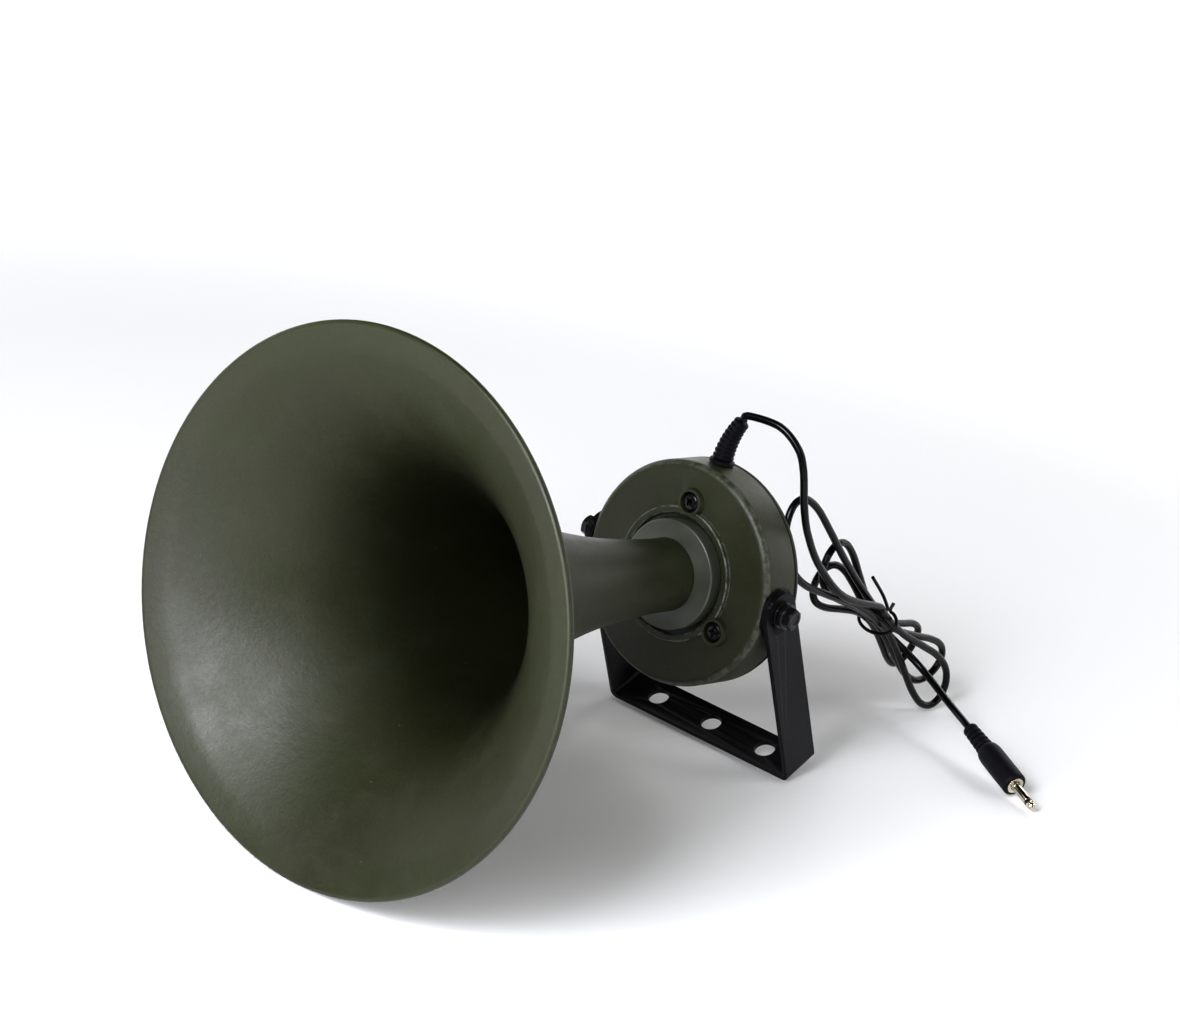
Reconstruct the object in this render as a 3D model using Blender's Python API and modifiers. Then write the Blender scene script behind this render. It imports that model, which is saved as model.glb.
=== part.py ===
"""Horn loudspeaker: flared horn, drum-shaped driver case, swivelling U bracket and a tied cord.

Everything is in metres with +Z up.  The horn's axis lies in the YZ plane with the mouth towards -Y.
The speaker stands on the lowest point of the mouth rim and on the front edge of the bracket's base.
The origin is on the floor, halfway between the front of the rim and the back of the bracket.

The pieces of the speaker are children of the empty "horn_axis".  In its frame +X is to the right of
someone who faces the mouth, +Y is the speaker's top and +Z points out of the mouth; z = 0 is the plane
of the bracket's pivot.
"""

import math

import bmesh
import bpy
from mathutils import Matrix, Vector

MM = 0.001
GAP = 0.3 * MM                      # clearance between pieces that touch on the real object

# ---- horn -------------------------------------------------------------------------------------------
MOUTH_RADIUS = 100.0 * MM
MOUTH_Z = 193.7 * MM                # mouth plane in front of the bracket's pivot
NECK_RADIUS = 14.0 * MM
FLARE_POWER = 2.6                   # how late the neck opens into the bell
HORN_WALL = 1.8 * MM
BEAD_RADIUS = 1.5 * MM              # rolled edge of the mouth

# ---- driver case ------------------------------------------------------------------------------------
CASE_RADIUS = 43.7 * MM
CASE_FRONT = 8.6 * MM               # front face in front of the pivot
CASE_REAR = -9.0 * MM               # rim on which the rear cover sits
CASE_WALL = 2.7 * MM
CASE_BORE = CASE_RADIUS - CASE_WALL
CASE_FACE = 2.5 * MM
CASE_EDGE = 3.0 * MM                # rounding of the front edge
THROAT_RADIUS = 11.2 * MM           # bore of the collar where the sound enters
COLLAR_RADIUS = 21.4 * MM
COLLAR_FLANGE = 3.2 * MM            # how far the collar's flange reaches behind the case's face
COLLAR_EDGE_Z = 13.85 * MM
COLLAR_SEAM_Z = 15.1 * MM
RING_INNER = 23.4 * MM              # raised ring round the collar
RING_OUTER = 26.1 * MM
RING_HEIGHT = 2.0 * MM
SCREW_CIRCLE = 28.9 * MM
SCREW_ANGLES = (90.0, -30.0, 210.0)
BOSS_RADIUS = 5.3 * MM
BOSS_HEIGHT = 2.3 * MM
COUNTERBORE_RADIUS = 4.0 * MM
SCREW_HEAD_RADIUS = 3.5 * MM
SCREW_SHANK_RADIUS = 1.5 * MM
GASKET_THICKNESS = 0.6 * MM
GASKET_INSET = 0.4 * MM             # how far the gasket stays inside the case's outline
SPIGOT_WIDTH = 2.3 * MM             # ring that centres the cover in the case
SPIGOT_HEIGHT = 2.4 * MM
COVER_FLANGE = 1.7 * MM
PLATEAU_RADIUS = 25.0 * MM
PLATEAU_HEIGHT = 1.4 * MM

# ---- motor inside the case ---------------------------------------------------------------------------
DOME_RADIUS = 13.2 * MM
COIL_RADIUS = 12.8 * MM
SURROUND_OUTER = 18.0 * MM
CLAMP_RADIUS = 31.0 * MM
TOP_PLATE_RADIUS = 33.0 * MM
MAGNET_RADIUS = 29.5 * MM
MAGNET_THICKNESS = 4.8 * MM
MAGNET_BORE = 17.0 * MM
POLE_RADIUS = 11.6 * MM
YOKE_INSET = 1.5 * MM               # how far the yoke stays inside the magnet's outline
PHASE_CONE_RADIUS = 5.4 * MM
PHASE_SLOT_RADIUS = 1.9 * MM
PHASE_SLOT_CIRCLE = 8.2 * MM
STRIP_MARGIN = 3.0 * MM             # from the terminal strip's edge to the case's bore

# ---- pivots and bracket ------------------------------------------------------------------------------
BOLT_BOSS_RADIUS = 5.2 * MM
BOLT_BOSS_END = TOP_PLATE_RADIUS + 1.4 * MM     # the bosses stop clear of the top plate
INSERT_RADIUS = 3.2 * MM
INSERT_DEPTH = 1.4 * MM             # the insert's outer end lies this deep under the case's surface
PIVOT_FLAT_RADIUS = 9.6 * MM
PIVOT_FLAT_DEPTH = 1.1 * MM
RUBBER_RADIUS = 8.4 * MM
RUBBER_THICKNESS = 0.8 * MM
LEG_GAP = 0.3 * MM                  # between the case and each leg
STRAP_THICKNESS = 2.0 * MM
BRACKET_OUTER = CASE_RADIUS + LEG_GAP + STRAP_THICKNESS
STRAP_WIDTH = 17.0 * MM
BRACKET_DROP = 80.5 * MM            # pivot to the underside of the base
BRACKET_SWING = math.radians(31.3)  # how far the base is swung back from square to the horn's axis
BEND_RADIUS = 3.0 * MM
BASE_HOLE_RADIUS = 4.2 * MM
BASE_HOLE_PITCH = 27.6 * MM
PIVOT_HOLE_RADIUS = 2.7 * MM
BOLT_SHANK_RADIUS = 2.3 * MM

# ---- cord --------------------------------------------------------------------------------------------
CORD_RADIUS = 1.5 * MM
BOOT_Z = -3.5 * MM
BOOT_LENGTH = 19.0 * MM
BOOT_NECK = 2.9 * MM                # the part of the boot that passes through the case's wall
BOOT_END = CASE_BORE - 1.0 * MM
BOOT_RIBS = 9
TIE_POINT = Vector((26.0, -18.7, -100.0)) * MM
LEAN_POINT = Vector((28.0, 35.4, -15.7)) * MM   # where the longest loop leans on the cover's edge
STRAND_STEP = 1.8 * MM              # spacing of the strands through the tie
POINTS_A_LOOP = 24
PLUG_FACE = Vector((103.7, -59.35, -105.3)) * MM
PLUG_AXIS = Vector((0.911, -0.251, 0.329)).normalized()


def flare(z):
    """Outer radius of the horn at height z over the pivot plane."""
    s = max(0.0, z - CASE_FRONT) / (MOUTH_Z - CASE_FRONT)
    return NECK_RADIUS + (MOUTH_RADIUS - BEAD_RADIUS - NECK_RADIUS) * s ** FLARE_POWER


def stance():
    """Tilt of the axis, height of the pivot when rim and bracket touch the floor, and its place along Y.

    The origin is on the floor, halfway between the foremost edge of the rim and the rearmost edge of the
    bracket's base.
    """
    rim_z = MOUTH_Z - BEAD_RADIUS
    rim_y = -(MOUTH_RADIUS - BEAD_RADIUS)
    sin_a = math.sin(BRACKET_SWING)
    cos_a = math.cos(BRACKET_SWING)
    edge_z = -BRACKET_DROP * sin_a + 0.5 * STRAP_WIDTH * cos_a
    edge_y = -BRACKET_DROP * cos_a - 0.5 * STRAP_WIDTH * sin_a
    reach = math.hypot(rim_z - edge_z, rim_y - edge_y)
    tilt = math.atan2(edge_y - rim_y, rim_z - edge_z) + math.asin(BEAD_RADIUS / reach)
    height = -(edge_z * math.sin(tilt) + edge_y * math.cos(tilt))
    front = -rim_z * math.cos(tilt) + rim_y * math.sin(tilt) - BEAD_RADIUS
    back_z = -BRACKET_DROP * sin_a - 0.5 * STRAP_WIDTH * cos_a
    back_y = -BRACKET_DROP * cos_a + 0.5 * STRAP_WIDTH * sin_a
    back = -back_z * math.cos(tilt) + back_y * math.sin(tilt)
    return tilt, height, -0.5 * (front + back)


TILT, PIVOT_HEIGHT, PIVOT_BACK = stance()


# ---- scene, collections, materials -------------------------------------------------------------------
for old in list(bpy.data.objects):
    bpy.data.objects.remove(old, do_unlink=True)

parts = bpy.data.collections.new("horn_loudspeaker")
cutters = bpy.data.collections.new("cutters")
bpy.context.scene.collection.children.link(parts)
bpy.context.scene.collection.children.link(cutters)


def material(name, colour, roughness, metallic=0.0):
    """A Principled material in one plain colour."""
    made = bpy.data.materials.new(name)
    made.use_nodes = True
    shader = made.node_tree.nodes["Principled BSDF"]
    shader.inputs["Base Color"].default_value = (*colour, 1.0)
    shader.inputs["Roughness"].default_value = roughness
    shader.inputs["Metallic"].default_value = metallic
    return made


GREEN = material("olive_enamel", (0.052, 0.060, 0.036), 0.55)
GREEN_GLOSS = material("olive_collar", (0.045, 0.052, 0.034), 0.35)
BLACK_METAL = material("black_painted_steel", (0.010, 0.011, 0.014), 0.40)
BLACK_ZINC = material("blackened_steel", (0.012, 0.012, 0.013), 0.25, 0.6)
RUBBER = material("black_rubber", (0.012, 0.012, 0.014), 0.65)
PVC = material("cord_pvc", (0.008, 0.008, 0.010), 0.28)
PHENOLIC = material("phenolic", (0.10, 0.055, 0.025), 0.50)
STEEL = material("zinc_plated_steel", (0.50, 0.50, 0.49), 0.35, 1.0)
FERRITE = material("ferrite", (0.030, 0.030, 0.032), 0.60)
TITANIUM = material("dome_foil", (0.42, 0.42, 0.40), 0.35, 1.0)
COPPER = material("enamelled_copper", (0.55, 0.22, 0.10), 0.35, 1.0)
KAPTON = material("coil_former_film", (0.45, 0.20, 0.04), 0.30)
BRASS = material("brass", (0.60, 0.45, 0.20), 0.35, 1.0)
NICKEL = material("nickel", (0.62, 0.58, 0.50), 0.22, 1.0)
WHITE_PLASTIC = material("plug_insulator", (0.03, 0.03, 0.03), 0.35)


# ---- frames ------------------------------------------------------------------------------------------
def frame(name, location, rotation, parent=None):
    """An empty that carries pieces."""
    made = bpy.data.objects.new(name, None)
    made.location = location
    made.rotation_euler = rotation
    made.parent = parent
    parts.objects.link(made)
    return made


horn_axis = frame("horn_axis", (0.0, PIVOT_BACK, PIVOT_HEIGHT), (0.5 * math.pi - TILT, 0.0, 0.0))
bracket_pivot = frame("bracket_pivot", (0.0, 0.0, 0.0), (BRACKET_SWING, 0.0, 0.0), horn_axis)


# ---- modelling helpers -------------------------------------------------------------------------------
def add(name, data, mat, parent=horn_axis):
    """Link a new object that becomes a piece of the speaker."""
    made = bpy.data.objects.new(name, data)
    made.parent = parent
    if mat is not None and not data.materials:
        data.materials.append(mat)
    parts.objects.link(made)
    return made


def to_cutters(made):
    """Turn an object into a hidden Boolean operand."""
    for users in list(made.users_collection):
        users.objects.unlink(made)
    cutters.objects.link(made)
    made.hide_render = True
    made.display_type = 'WIRE'
    return made


def rounded(corners, arc_points=3):
    """A profile from (r, z) corners; a third number rounds that corner to a radius."""
    path = []
    count = len(corners)
    for i, corner in enumerate(corners):
        here = Vector(corner[:2])
        if len(corner) == 2:
            path.append(here)
            continue
        before = (Vector(corners[i - 1][:2]) - here).normalized()
        after = (Vector(corners[(i + 1) % count][:2]) - here).normalized()
        half = 0.5 * before.angle(after)
        centre = here + (before + after).normalized() * (corner[2] / math.sin(half))
        start = here + before * (corner[2] / math.tan(half)) - centre
        end = here + after * (corner[2] / math.tan(half)) - centre
        for k in range(arc_points + 1):
            mixed = start.lerp(end, k / arc_points)
            path.append(centre + mixed.normalized() * corner[2])
    return path


def turned(name, profile, mat, closed=True, segments=28, parent=horn_axis):
    """Turn an (r, z) profile round the local Z axis.  It runs down its outer side, top to bottom."""
    mesh = bpy.data.meshes.new(name)
    points = [(p[0], 0.0, p[1]) for p in profile]
    edges = [(i, i + 1) for i in range(len(points) - 1)]
    if closed:
        edges.append((len(points) - 1, 0))
    mesh.from_pydata(points, edges, [])
    made = add(name, mesh, mat, parent)
    screw = made.modifiers.new("turn", 'SCREW')
    screw.axis = 'Z'
    screw.steps = segments
    screw.render_steps = segments
    screw.use_merge_vertices = True
    screw.merge_threshold = 0.00001
    screw.use_smooth_shade = True
    return made


def cylinders(name, mat, pieces, segments=32, parent=horn_axis):
    """One mesh of cylinders, each given as (radius, one end, other end)."""
    mesh = bpy.data.meshes.new(name)
    bm = bmesh.new()
    for radius, low, high in pieces:
        low = Vector(low)
        high = Vector(high)
        turn = Vector((0.0, 0.0, 1.0)).rotation_difference(high - low).to_matrix().to_4x4()
        matrix = Matrix.Translation(0.5 * (low + high)) @ turn
        bmesh.ops.create_cone(bm, cap_ends=True, segments=segments, radius1=radius, radius2=radius,
                              depth=(high - low).length, matrix=matrix)
    bm.to_mesh(mesh)
    bm.free()
    mesh.shade_smooth()
    mesh.set_sharp_from_angle(angle=math.radians(35.0))
    return add(name, mesh, mat, parent)


def block(name, mat, size, centre, parent=horn_axis):
    """A box with its faces along the axes."""
    mesh = bpy.data.meshes.new(name)
    bm = bmesh.new()
    matrix = Matrix.Translation(centre) @ Matrix.Diagonal((*size, 1.0))
    bmesh.ops.create_cube(bm, size=1.0, matrix=matrix)
    bm.to_mesh(mesh)
    bm.free()
    return add(name, mesh, mat, parent)


def boolean(made, other, operation='DIFFERENCE'):
    """Cut or join with the exact solver."""
    step = made.modifiers.new(other.name, 'BOOLEAN')
    step.operation = operation
    step.solver = 'EXACT'
    step.object = other
    return step


def edge_bevel(made, width, segments=2, angle=40.0):
    """Round the sharp edges of a piece."""
    step = made.modifiers.new("edges", 'BEVEL')
    step.width = width
    step.segments = segments
    step.limit_method = 'ANGLE'
    step.angle_limit = math.radians(angle)
    return step


def smooth_path(route, samples):
    """A smooth curve through route points, as points at about even spacing."""
    route = [Vector(p) for p in route]
    ends = [2 * route[0] - route[1], *route, 2 * route[-1] - route[-2]]
    fine = []
    for a, b, c, d in zip(ends, ends[1:], ends[2:], ends[3:]):
        for k in range(24):
            t = k / 24
            fine.append(0.5 * (2 * b + (c - a) * t + (2 * a - 5 * b + 4 * c - d) * t ** 2
                               + (3 * b - a - 3 * c + d) * t ** 3))
    fine.append(route[-1])
    along = [0.0]
    for p, q in zip(fine, fine[1:]):
        along.append(along[-1] + (q - p).length)
    even = []
    k = 0
    for i in range(samples):
        want = along[-1] * i / (samples - 1)
        while k < len(along) - 2 and along[k + 1] < want:
            k += 1
        share = (want - along[k]) / max(along[k + 1] - along[k], 1e-9)
        even.append(fine[k].lerp(fine[k + 1], share))
    return even, along[-1]


def tube(name, path, radius, mat, radii=None, resolution=2, parent=horn_axis):
    """A round wire along a path, as a polyline curve with filled caps."""
    curve = bpy.data.curves.new(name, 'CURVE')
    curve.dimensions = '3D'
    curve.bevel_depth = radius
    curve.bevel_resolution = resolution
    curve.use_fill_caps = True
    curve.resolution_u = 1
    curve.render_resolution_u = 0
    spline = curve.splines.new('POLY')
    spline.points.add(len(path) - 1)
    for i, point in enumerate(path):
        spline.points[i].co = (*point, 1.0)
        if radii is not None:
            spline.points[i].radius = radii[i]
    spline.use_smooth = True
    return add(name, curve, mat, parent)


def on_screw_circle(angle, z):
    """A point on the screw circle."""
    return Vector((SCREW_CIRCLE * math.cos(math.radians(angle)),
                   SCREW_CIRCLE * math.sin(math.radians(angle)), z))


# ---- horn --------------------------------------------------------------------------------------------
def build_horn():
    """The bell and its neck in one shell with a rolled edge round the mouth."""
    rear = CASE_FRONT - 0.7 * MM
    steps = 11
    outer = []
    inner = []
    top = MOUTH_Z - 3.6 * MM
    for i in range(steps + 1):
        z = CASE_FRONT + (top - CASE_FRONT) * (i / steps) ** 0.85
        slope = (flare(z + 0.1 * MM) - flare(z - 0.1 * MM)) / (0.2 * MM)
        size = math.hypot(1.0, slope)
        outer.append((flare(z), z))
        inner.append((flare(z) - HORN_WALL / size, z + HORN_WALL * slope / size))
    bead = []
    for angle in (115, 75, 35, -5, -50, -95):
        turn = math.radians(angle)
        bead.append((MOUTH_RADIUS - BEAD_RADIUS + BEAD_RADIUS * math.cos(turn),
                     MOUTH_Z - BEAD_RADIUS + BEAD_RADIUS * math.sin(turn)))
    profile = bead + outer[::-1] + [(NECK_RADIUS, rear), (NECK_RADIUS - HORN_WALL, rear)] + inner
    return turned("horn", profile, GREEN, segments=48)


# ---- driver case -------------------------------------------------------------------------------------
def build_case():
    """Drum-shaped cup with the raised ring, counterbored screw bosses and inner bolt bosses."""
    ring_top = CASE_FRONT + RING_HEIGHT
    profile = rounded([
        (RING_OUTER, ring_top, 0.7 * MM),
        (RING_OUTER + 0.3 * MM, CASE_FRONT),
        (CASE_RADIUS, CASE_FRONT, CASE_EDGE),
        (CASE_RADIUS, CASE_REAR),
        (CASE_BORE, CASE_REAR),
        (CASE_BORE, CASE_FRONT - CASE_FACE, 1.5 * MM),
        (COLLAR_RADIUS + GAP, CASE_FRONT - CASE_FACE),
        (COLLAR_RADIUS + GAP, CASE_FRONT),
        (RING_INNER, CASE_FRONT),
        (RING_INNER, ring_top, 0.7 * MM),
    ], 2)
    case = turned("driver_case", profile, GREEN, segments=44)
    bosses = []
    bores = []
    counterbores = []
    for angle in SCREW_ANGLES:
        bosses.append((BOSS_RADIUS, on_screw_circle(angle, CASE_FRONT - 0.8 * MM),
                       on_screw_circle(angle, CASE_FRONT + BOSS_HEIGHT)))
        counterbores.append((COUNTERBORE_RADIUS, on_screw_circle(angle, CASE_FRONT - 0.6 * MM),
                             on_screw_circle(angle, CASE_FRONT + 6.0 * MM)))
        bores.append((SCREW_SHANK_RADIUS + GAP, on_screw_circle(angle, CASE_FRONT - 6.0 * MM),
                      on_screw_circle(angle, CASE_FRONT)))
    inner_bosses = []
    for side in (-1.0, 1.0):
        inner_bosses.append((BOLT_BOSS_RADIUS, (side * BOLT_BOSS_END, 0.0, 0.0),
                             (side * (CASE_RADIUS - INSERT_DEPTH), 0.0, 0.0)))
        bores.append((INSERT_RADIUS + GAP, (side * (BOLT_BOSS_END - 4.4 * MM), 0.0, 0.0),
                      (side * (CASE_RADIUS + 6.3 * MM), 0.0, 0.0)))
    bores.append((BOOT_NECK + 0.4 * MM, (0.0, CASE_BORE - 5.0 * MM, BOOT_Z),
                  (0.0, CASE_RADIUS + 6.3 * MM, BOOT_Z)))
    raised = to_cutters(cylinders("case_raised_bosses", None, bosses, 22))
    lugs = to_cutters(cylinders("case_bolt_bosses", None, inner_bosses, 16))
    holes = to_cutters(cylinders("case_holes", None, bores, 20))
    recesses = to_cutters(cylinders("case_counterbores", None, counterbores, 20))
    flats = to_cutters(cylinders("case_flats", None, [
        (PIVOT_FLAT_RADIUS, (side * (CASE_RADIUS - PIVOT_FLAT_DEPTH), 0.0, 0.0),
         (side * (CASE_RADIUS + 6.3 * MM), 0.0, 0.0)) for side in (-1.0, 1.0)
    ], 28))
    centre = to_cutters(cylinders("case_centre", None, [
        (RING_INNER - 0.1 * MM, (0.0, 0.0, CASE_FRONT + 0.01 * MM), (0.0, 0.0, CASE_FRONT + 8.0 * MM)),
    ], 44))
    boolean(case, raised, 'UNION')
    boolean(case, lugs, 'UNION')
    boolean(case, centre)
    boolean(case, recesses)
    boolean(case, holes)
    boolean(case, flats)
    return case


def build_collar():
    """Smooth collar that clamps the neck of the horn to the case."""
    inner_face = CASE_FRONT - CASE_FACE - GAP
    profile = rounded([
        (NECK_RADIUS + GAP, COLLAR_SEAM_Z),
        (COLLAR_RADIUS, COLLAR_EDGE_Z, 0.8 * MM),
        (COLLAR_RADIUS, inner_face),
        (COLLAR_RADIUS + COLLAR_FLANGE, inner_face),
        (COLLAR_RADIUS + COLLAR_FLANGE, inner_face - 1.2 * MM),
        (THROAT_RADIUS, inner_face - 1.2 * MM),
        (THROAT_RADIUS, CASE_FRONT - 1.0 * MM),
        (NECK_RADIUS + GAP, CASE_FRONT - 1.0 * MM),
    ])
    return turned("throat_collar", profile, GREEN_GLOSS, segments=36)


def build_cover():
    """Rear cover with its shallow pressed plateau and the spigot that locates it in the case."""
    outer = CASE_REAR - 2 * GAP - GASKET_THICKNESS
    back = outer - COVER_FLANGE
    lift = back - PLATEAU_HEIGHT
    spigot = CASE_BORE - GAP
    profile = rounded([
        (0.0, outer - 0.9 * MM),
        (PLATEAU_RADIUS - 3.5 * MM, outer - 0.9 * MM),
        (PLATEAU_RADIUS - 2.0 * MM, outer),
        (spigot - SPIGOT_WIDTH, outer),
        (spigot - SPIGOT_WIDTH, outer + SPIGOT_HEIGHT),
        (spigot, outer + SPIGOT_HEIGHT),
        (spigot, outer),
        (CASE_RADIUS, outer),
        (CASE_RADIUS, back, 1.3 * MM),
        (PLATEAU_RADIUS + 0.6 * MM, back),
        (PLATEAU_RADIUS - 0.4 * MM, back - 0.9 * MM),
        (PLATEAU_RADIUS - 2.6 * MM, back - 0.9 * MM),
        (PLATEAU_RADIUS - 3.2 * MM, lift),
        (0.0, lift),
    ], 2)
    return turned("rear_cover", profile, GREEN, closed=False, segments=40)


def build_gasket():
    """Black sealing ring between the case and the rear cover."""
    top = CASE_REAR - GAP
    edge = CASE_RADIUS - GASKET_INSET
    profile = [(edge, top), (edge, top - GASKET_THICKNESS),
               (CASE_BORE, top - GASKET_THICKNESS), (CASE_BORE, top)]
    return turned("rear_gasket", profile, RUBBER, segments=36)


def build_case_screws():
    """Three pan-head screws with a cross recess, in the counterbores."""
    seat = CASE_FRONT - 0.6 * MM + GAP
    for number, angle in enumerate(SCREW_ANGLES, 1):
        profile = rounded([
            (0.0, seat + 2.2 * MM),
            (SCREW_HEAD_RADIUS, seat + 2.0 * MM, 1.2 * MM),
            (SCREW_HEAD_RADIUS, seat),
            (SCREW_SHANK_RADIUS, seat),
            (SCREW_SHANK_RADIUS, seat - 7.6 * MM),
            (0.0, seat - 7.6 * MM),
        ], 3)
        screw = turned(f"case_screw_{number}", profile, BLACK_ZINC, closed=False, segments=16)
        screw.location = on_screw_circle(angle, 0.0)
        recess = block(f"screw_recess_{number}", None, (4.2 * MM, 0.9 * MM, 2.4 * MM), (0, 0, 0))
        across = block(f"screw_recess_across_{number}", None, (0.9 * MM, 4.2 * MM, 2.4 * MM), (0, 0, 0))
        for cutter in (recess, across):
            to_cutters(cutter)
            cutter.location = on_screw_circle(angle, seat + 2.2 * MM)
            cutter.rotation_euler = (0.0, 0.0, math.radians(20.0 + 35.0 * number))
            boolean(screw, cutter)


# ---- motor -------------------------------------------------------------------------------------------
def build_motor():
    """Phase plate, diaphragm, voice coil and magnet system, from the throat backwards."""
    plate_front = CASE_FRONT - CASE_FACE - 1.2 * MM - 2 * GAP
    plate_back = plate_front - 1.4 * MM
    profile = rounded([
        (0.0, plate_front + 5.0 * MM),
        (1.6 * MM, plate_front + 4.8 * MM),
        (PHASE_CONE_RADIUS, plate_front),
        (CLAMP_RADIUS, plate_front),
        (CLAMP_RADIUS, plate_back),
        (0.0, plate_back),
    ])
    phase = turned("phase_plate", profile, PHENOLIC, closed=False, segments=24)
    slots = []
    for k in range(8):
        turn = math.radians(45.0 * k + 22.5)
        across, up = PHASE_SLOT_CIRCLE * math.cos(turn), PHASE_SLOT_CIRCLE * math.sin(turn)
        slots.append((PHASE_SLOT_RADIUS, (across, up, plate_back - 6.9 * MM),
                      (across, up, plate_front + 4.7 * MM)))
    for angle in SCREW_ANGLES:
        slots.append((SCREW_SHANK_RADIUS + GAP, on_screw_circle(angle, -2.0 * MM),
                      on_screw_circle(angle, 9.0 * MM)))
    boolean(phase, to_cutters(cylinders("phase_slots", None, slots, 12)))

    clamp_front = plate_back - GAP
    clamp_back = clamp_front - 2.2 * MM
    clamp = turned("clamp_ring", [
        (CLAMP_RADIUS, clamp_front), (CLAMP_RADIUS, clamp_back),
        (SURROUND_OUTER + GAP, clamp_back), (SURROUND_OUTER + GAP, clamp_front),
    ], PHENOLIC)
    holes = [(SCREW_SHANK_RADIUS + GAP, on_screw_circle(angle, clamp_back - 2.0 * MM),
              on_screw_circle(angle, clamp_front + 2.0 * MM)) for angle in SCREW_ANGLES]
    boolean(clamp, to_cutters(cylinders("clamp_holes", None, holes, 12)))

    rim = clamp_back + 0.35 * MM
    sphere = 60.0 * MM
    rise = math.sqrt(sphere ** 2 - DOME_RADIUS ** 2)
    cap = []
    for k in range(6):
        r = DOME_RADIUS * k / 5
        cap.append((r, rim + math.sqrt(sphere ** 2 - r ** 2) - rise))
    under = [(r, z - 0.35 * MM) for r, z in cap]
    turned("diaphragm_dome", cap + under[::-1], TITANIUM, closed=False, segments=20)
    ring_z = cap[-1][1]
    quarter = 0.25 * (SURROUND_OUTER - DOME_RADIUS)
    rise_1, rise_2, rise_3 = (DOME_RADIUS + k * quarter for k in (1, 2, 3))
    turned("surround", [
        (DOME_RADIUS + GAP, ring_z), (rise_1, ring_z + 0.5 * MM), (rise_2, ring_z + 0.7 * MM),
        (rise_3, ring_z + 0.5 * MM), (SURROUND_OUTER, ring_z),
        (SURROUND_OUTER, ring_z - 0.35 * MM), (rise_3, ring_z + 0.15 * MM),
        (rise_2, ring_z + 0.35 * MM), (rise_1, ring_z + 0.15 * MM),
        (DOME_RADIUS + GAP, ring_z - 0.35 * MM),
    ], RUBBER, segments=20)
    coil_top = ring_z - 0.35 * MM - GAP
    turned("coil_former", [
        (COIL_RADIUS, coil_top), (COIL_RADIUS, coil_top - 4.6 * MM),
        (COIL_RADIUS - GAP, coil_top - 4.6 * MM), (COIL_RADIUS - GAP, coil_top),
    ], KAPTON, segments=20)
    turned("coil_winding", [
        (COIL_RADIUS + 1.0 * MM, coil_top - 1.9 * MM), (COIL_RADIUS + 1.0 * MM, coil_top - 4.3 * MM),
        (COIL_RADIUS + GAP, coil_top - 4.3 * MM), (COIL_RADIUS + GAP, coil_top - 1.9 * MM),
    ], COPPER, segments=20)

    top_front = clamp_back - GAP
    top_back = top_front - 2.4 * MM
    top = turned("top_plate", [
        (TOP_PLATE_RADIUS, top_front), (TOP_PLATE_RADIUS, top_back),
        (COIL_RADIUS + 1.8 * MM, top_back), (COIL_RADIUS + 1.8 * MM, top_front),
    ], STEEL)
    holes = [(SCREW_SHANK_RADIUS + GAP, on_screw_circle(angle, top_back + 0.6 * MM),
              on_screw_circle(angle, top_front + 2.0 * MM)) for angle in SCREW_ANGLES]
    boolean(top, to_cutters(cylinders("top_plate_holes", None, holes, 12)))
    magnet_front = top_back - GAP
    magnet_back = magnet_front - MAGNET_THICKNESS
    turned("ring_magnet", rounded([
        (MAGNET_RADIUS, magnet_front), (MAGNET_RADIUS, magnet_back, 0.8 * MM),
        (MAGNET_BORE, magnet_back), (MAGNET_BORE, magnet_front),
    ], 2), FERRITE)
    yoke_front = magnet_back - GAP
    yoke = turned("yoke", rounded([
        (0.0, top_front - 0.3 * MM),
        (POLE_RADIUS, top_front - 0.3 * MM),
        (POLE_RADIUS, yoke_front),
        (MAGNET_RADIUS - YOKE_INSET, yoke_front),
        (MAGNET_RADIUS - YOKE_INSET, yoke_front - 2.0 * MM, 0.8 * MM),
        (0.0, yoke_front - 2.0 * MM),
    ], 2), STEEL, closed=False)
    return top_back, yoke, yoke_front - 2.0 * MM


def build_terminals(ledge):
    """Terminal strip on the edge of the top plate, its two lugs and the leads to the cord."""
    thick = 1.4 * MM
    z = ledge - GAP - 0.5 * thick
    low = MAGNET_RADIUS + 0.9 * MM
    high = CASE_BORE - STRIP_MARGIN
    middle = 0.5 * (low + high)
    strip = block("terminal_strip", PHENOLIC, (15.0 * MM, high - low, thick), (0.0, middle, z))
    edge_bevel(strip, 0.3 * MM, 1)
    for number, side in enumerate((-1.0, 1.0), 1):
        back = z - 0.5 * thick - GAP
        lug = block(f"terminal_lug_{number}", BRASS, (3.0 * MM, high - low - 1.0 * MM, 0.5 * MM),
                    (side * 4.0 * MM, middle, back - 0.25 * MM))
        hole = to_cutters(cylinders(f"lug_hole_{number}", None, [
            (0.7 * MM, (side * 4.0 * MM, high - 1.8 * MM, back - 3.0 * MM),
             (side * 4.0 * MM, high - 1.8 * MM, back + 3.0 * MM)),
        ], 12))
        boolean(lug, hole)
        wire_z = back - 0.5 * MM - GAP - 0.5 * MM
        route = [(side * 4.0 * MM, high - 3.0 * MM, wire_z), (side * 3.7 * MM, high - 1.4 * MM, wire_z),
                 (side * 2.2 * MM, high + 0.2 * MM, wire_z + 0.1 * MM),
                 (side * 1.0 * MM, BOOT_END - 0.6 * MM, BOOT_Z)]
        path, _ = smooth_path(route, 9)
        tube(f"lead_wire_{number}", path, 0.5 * MM, PVC)


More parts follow.
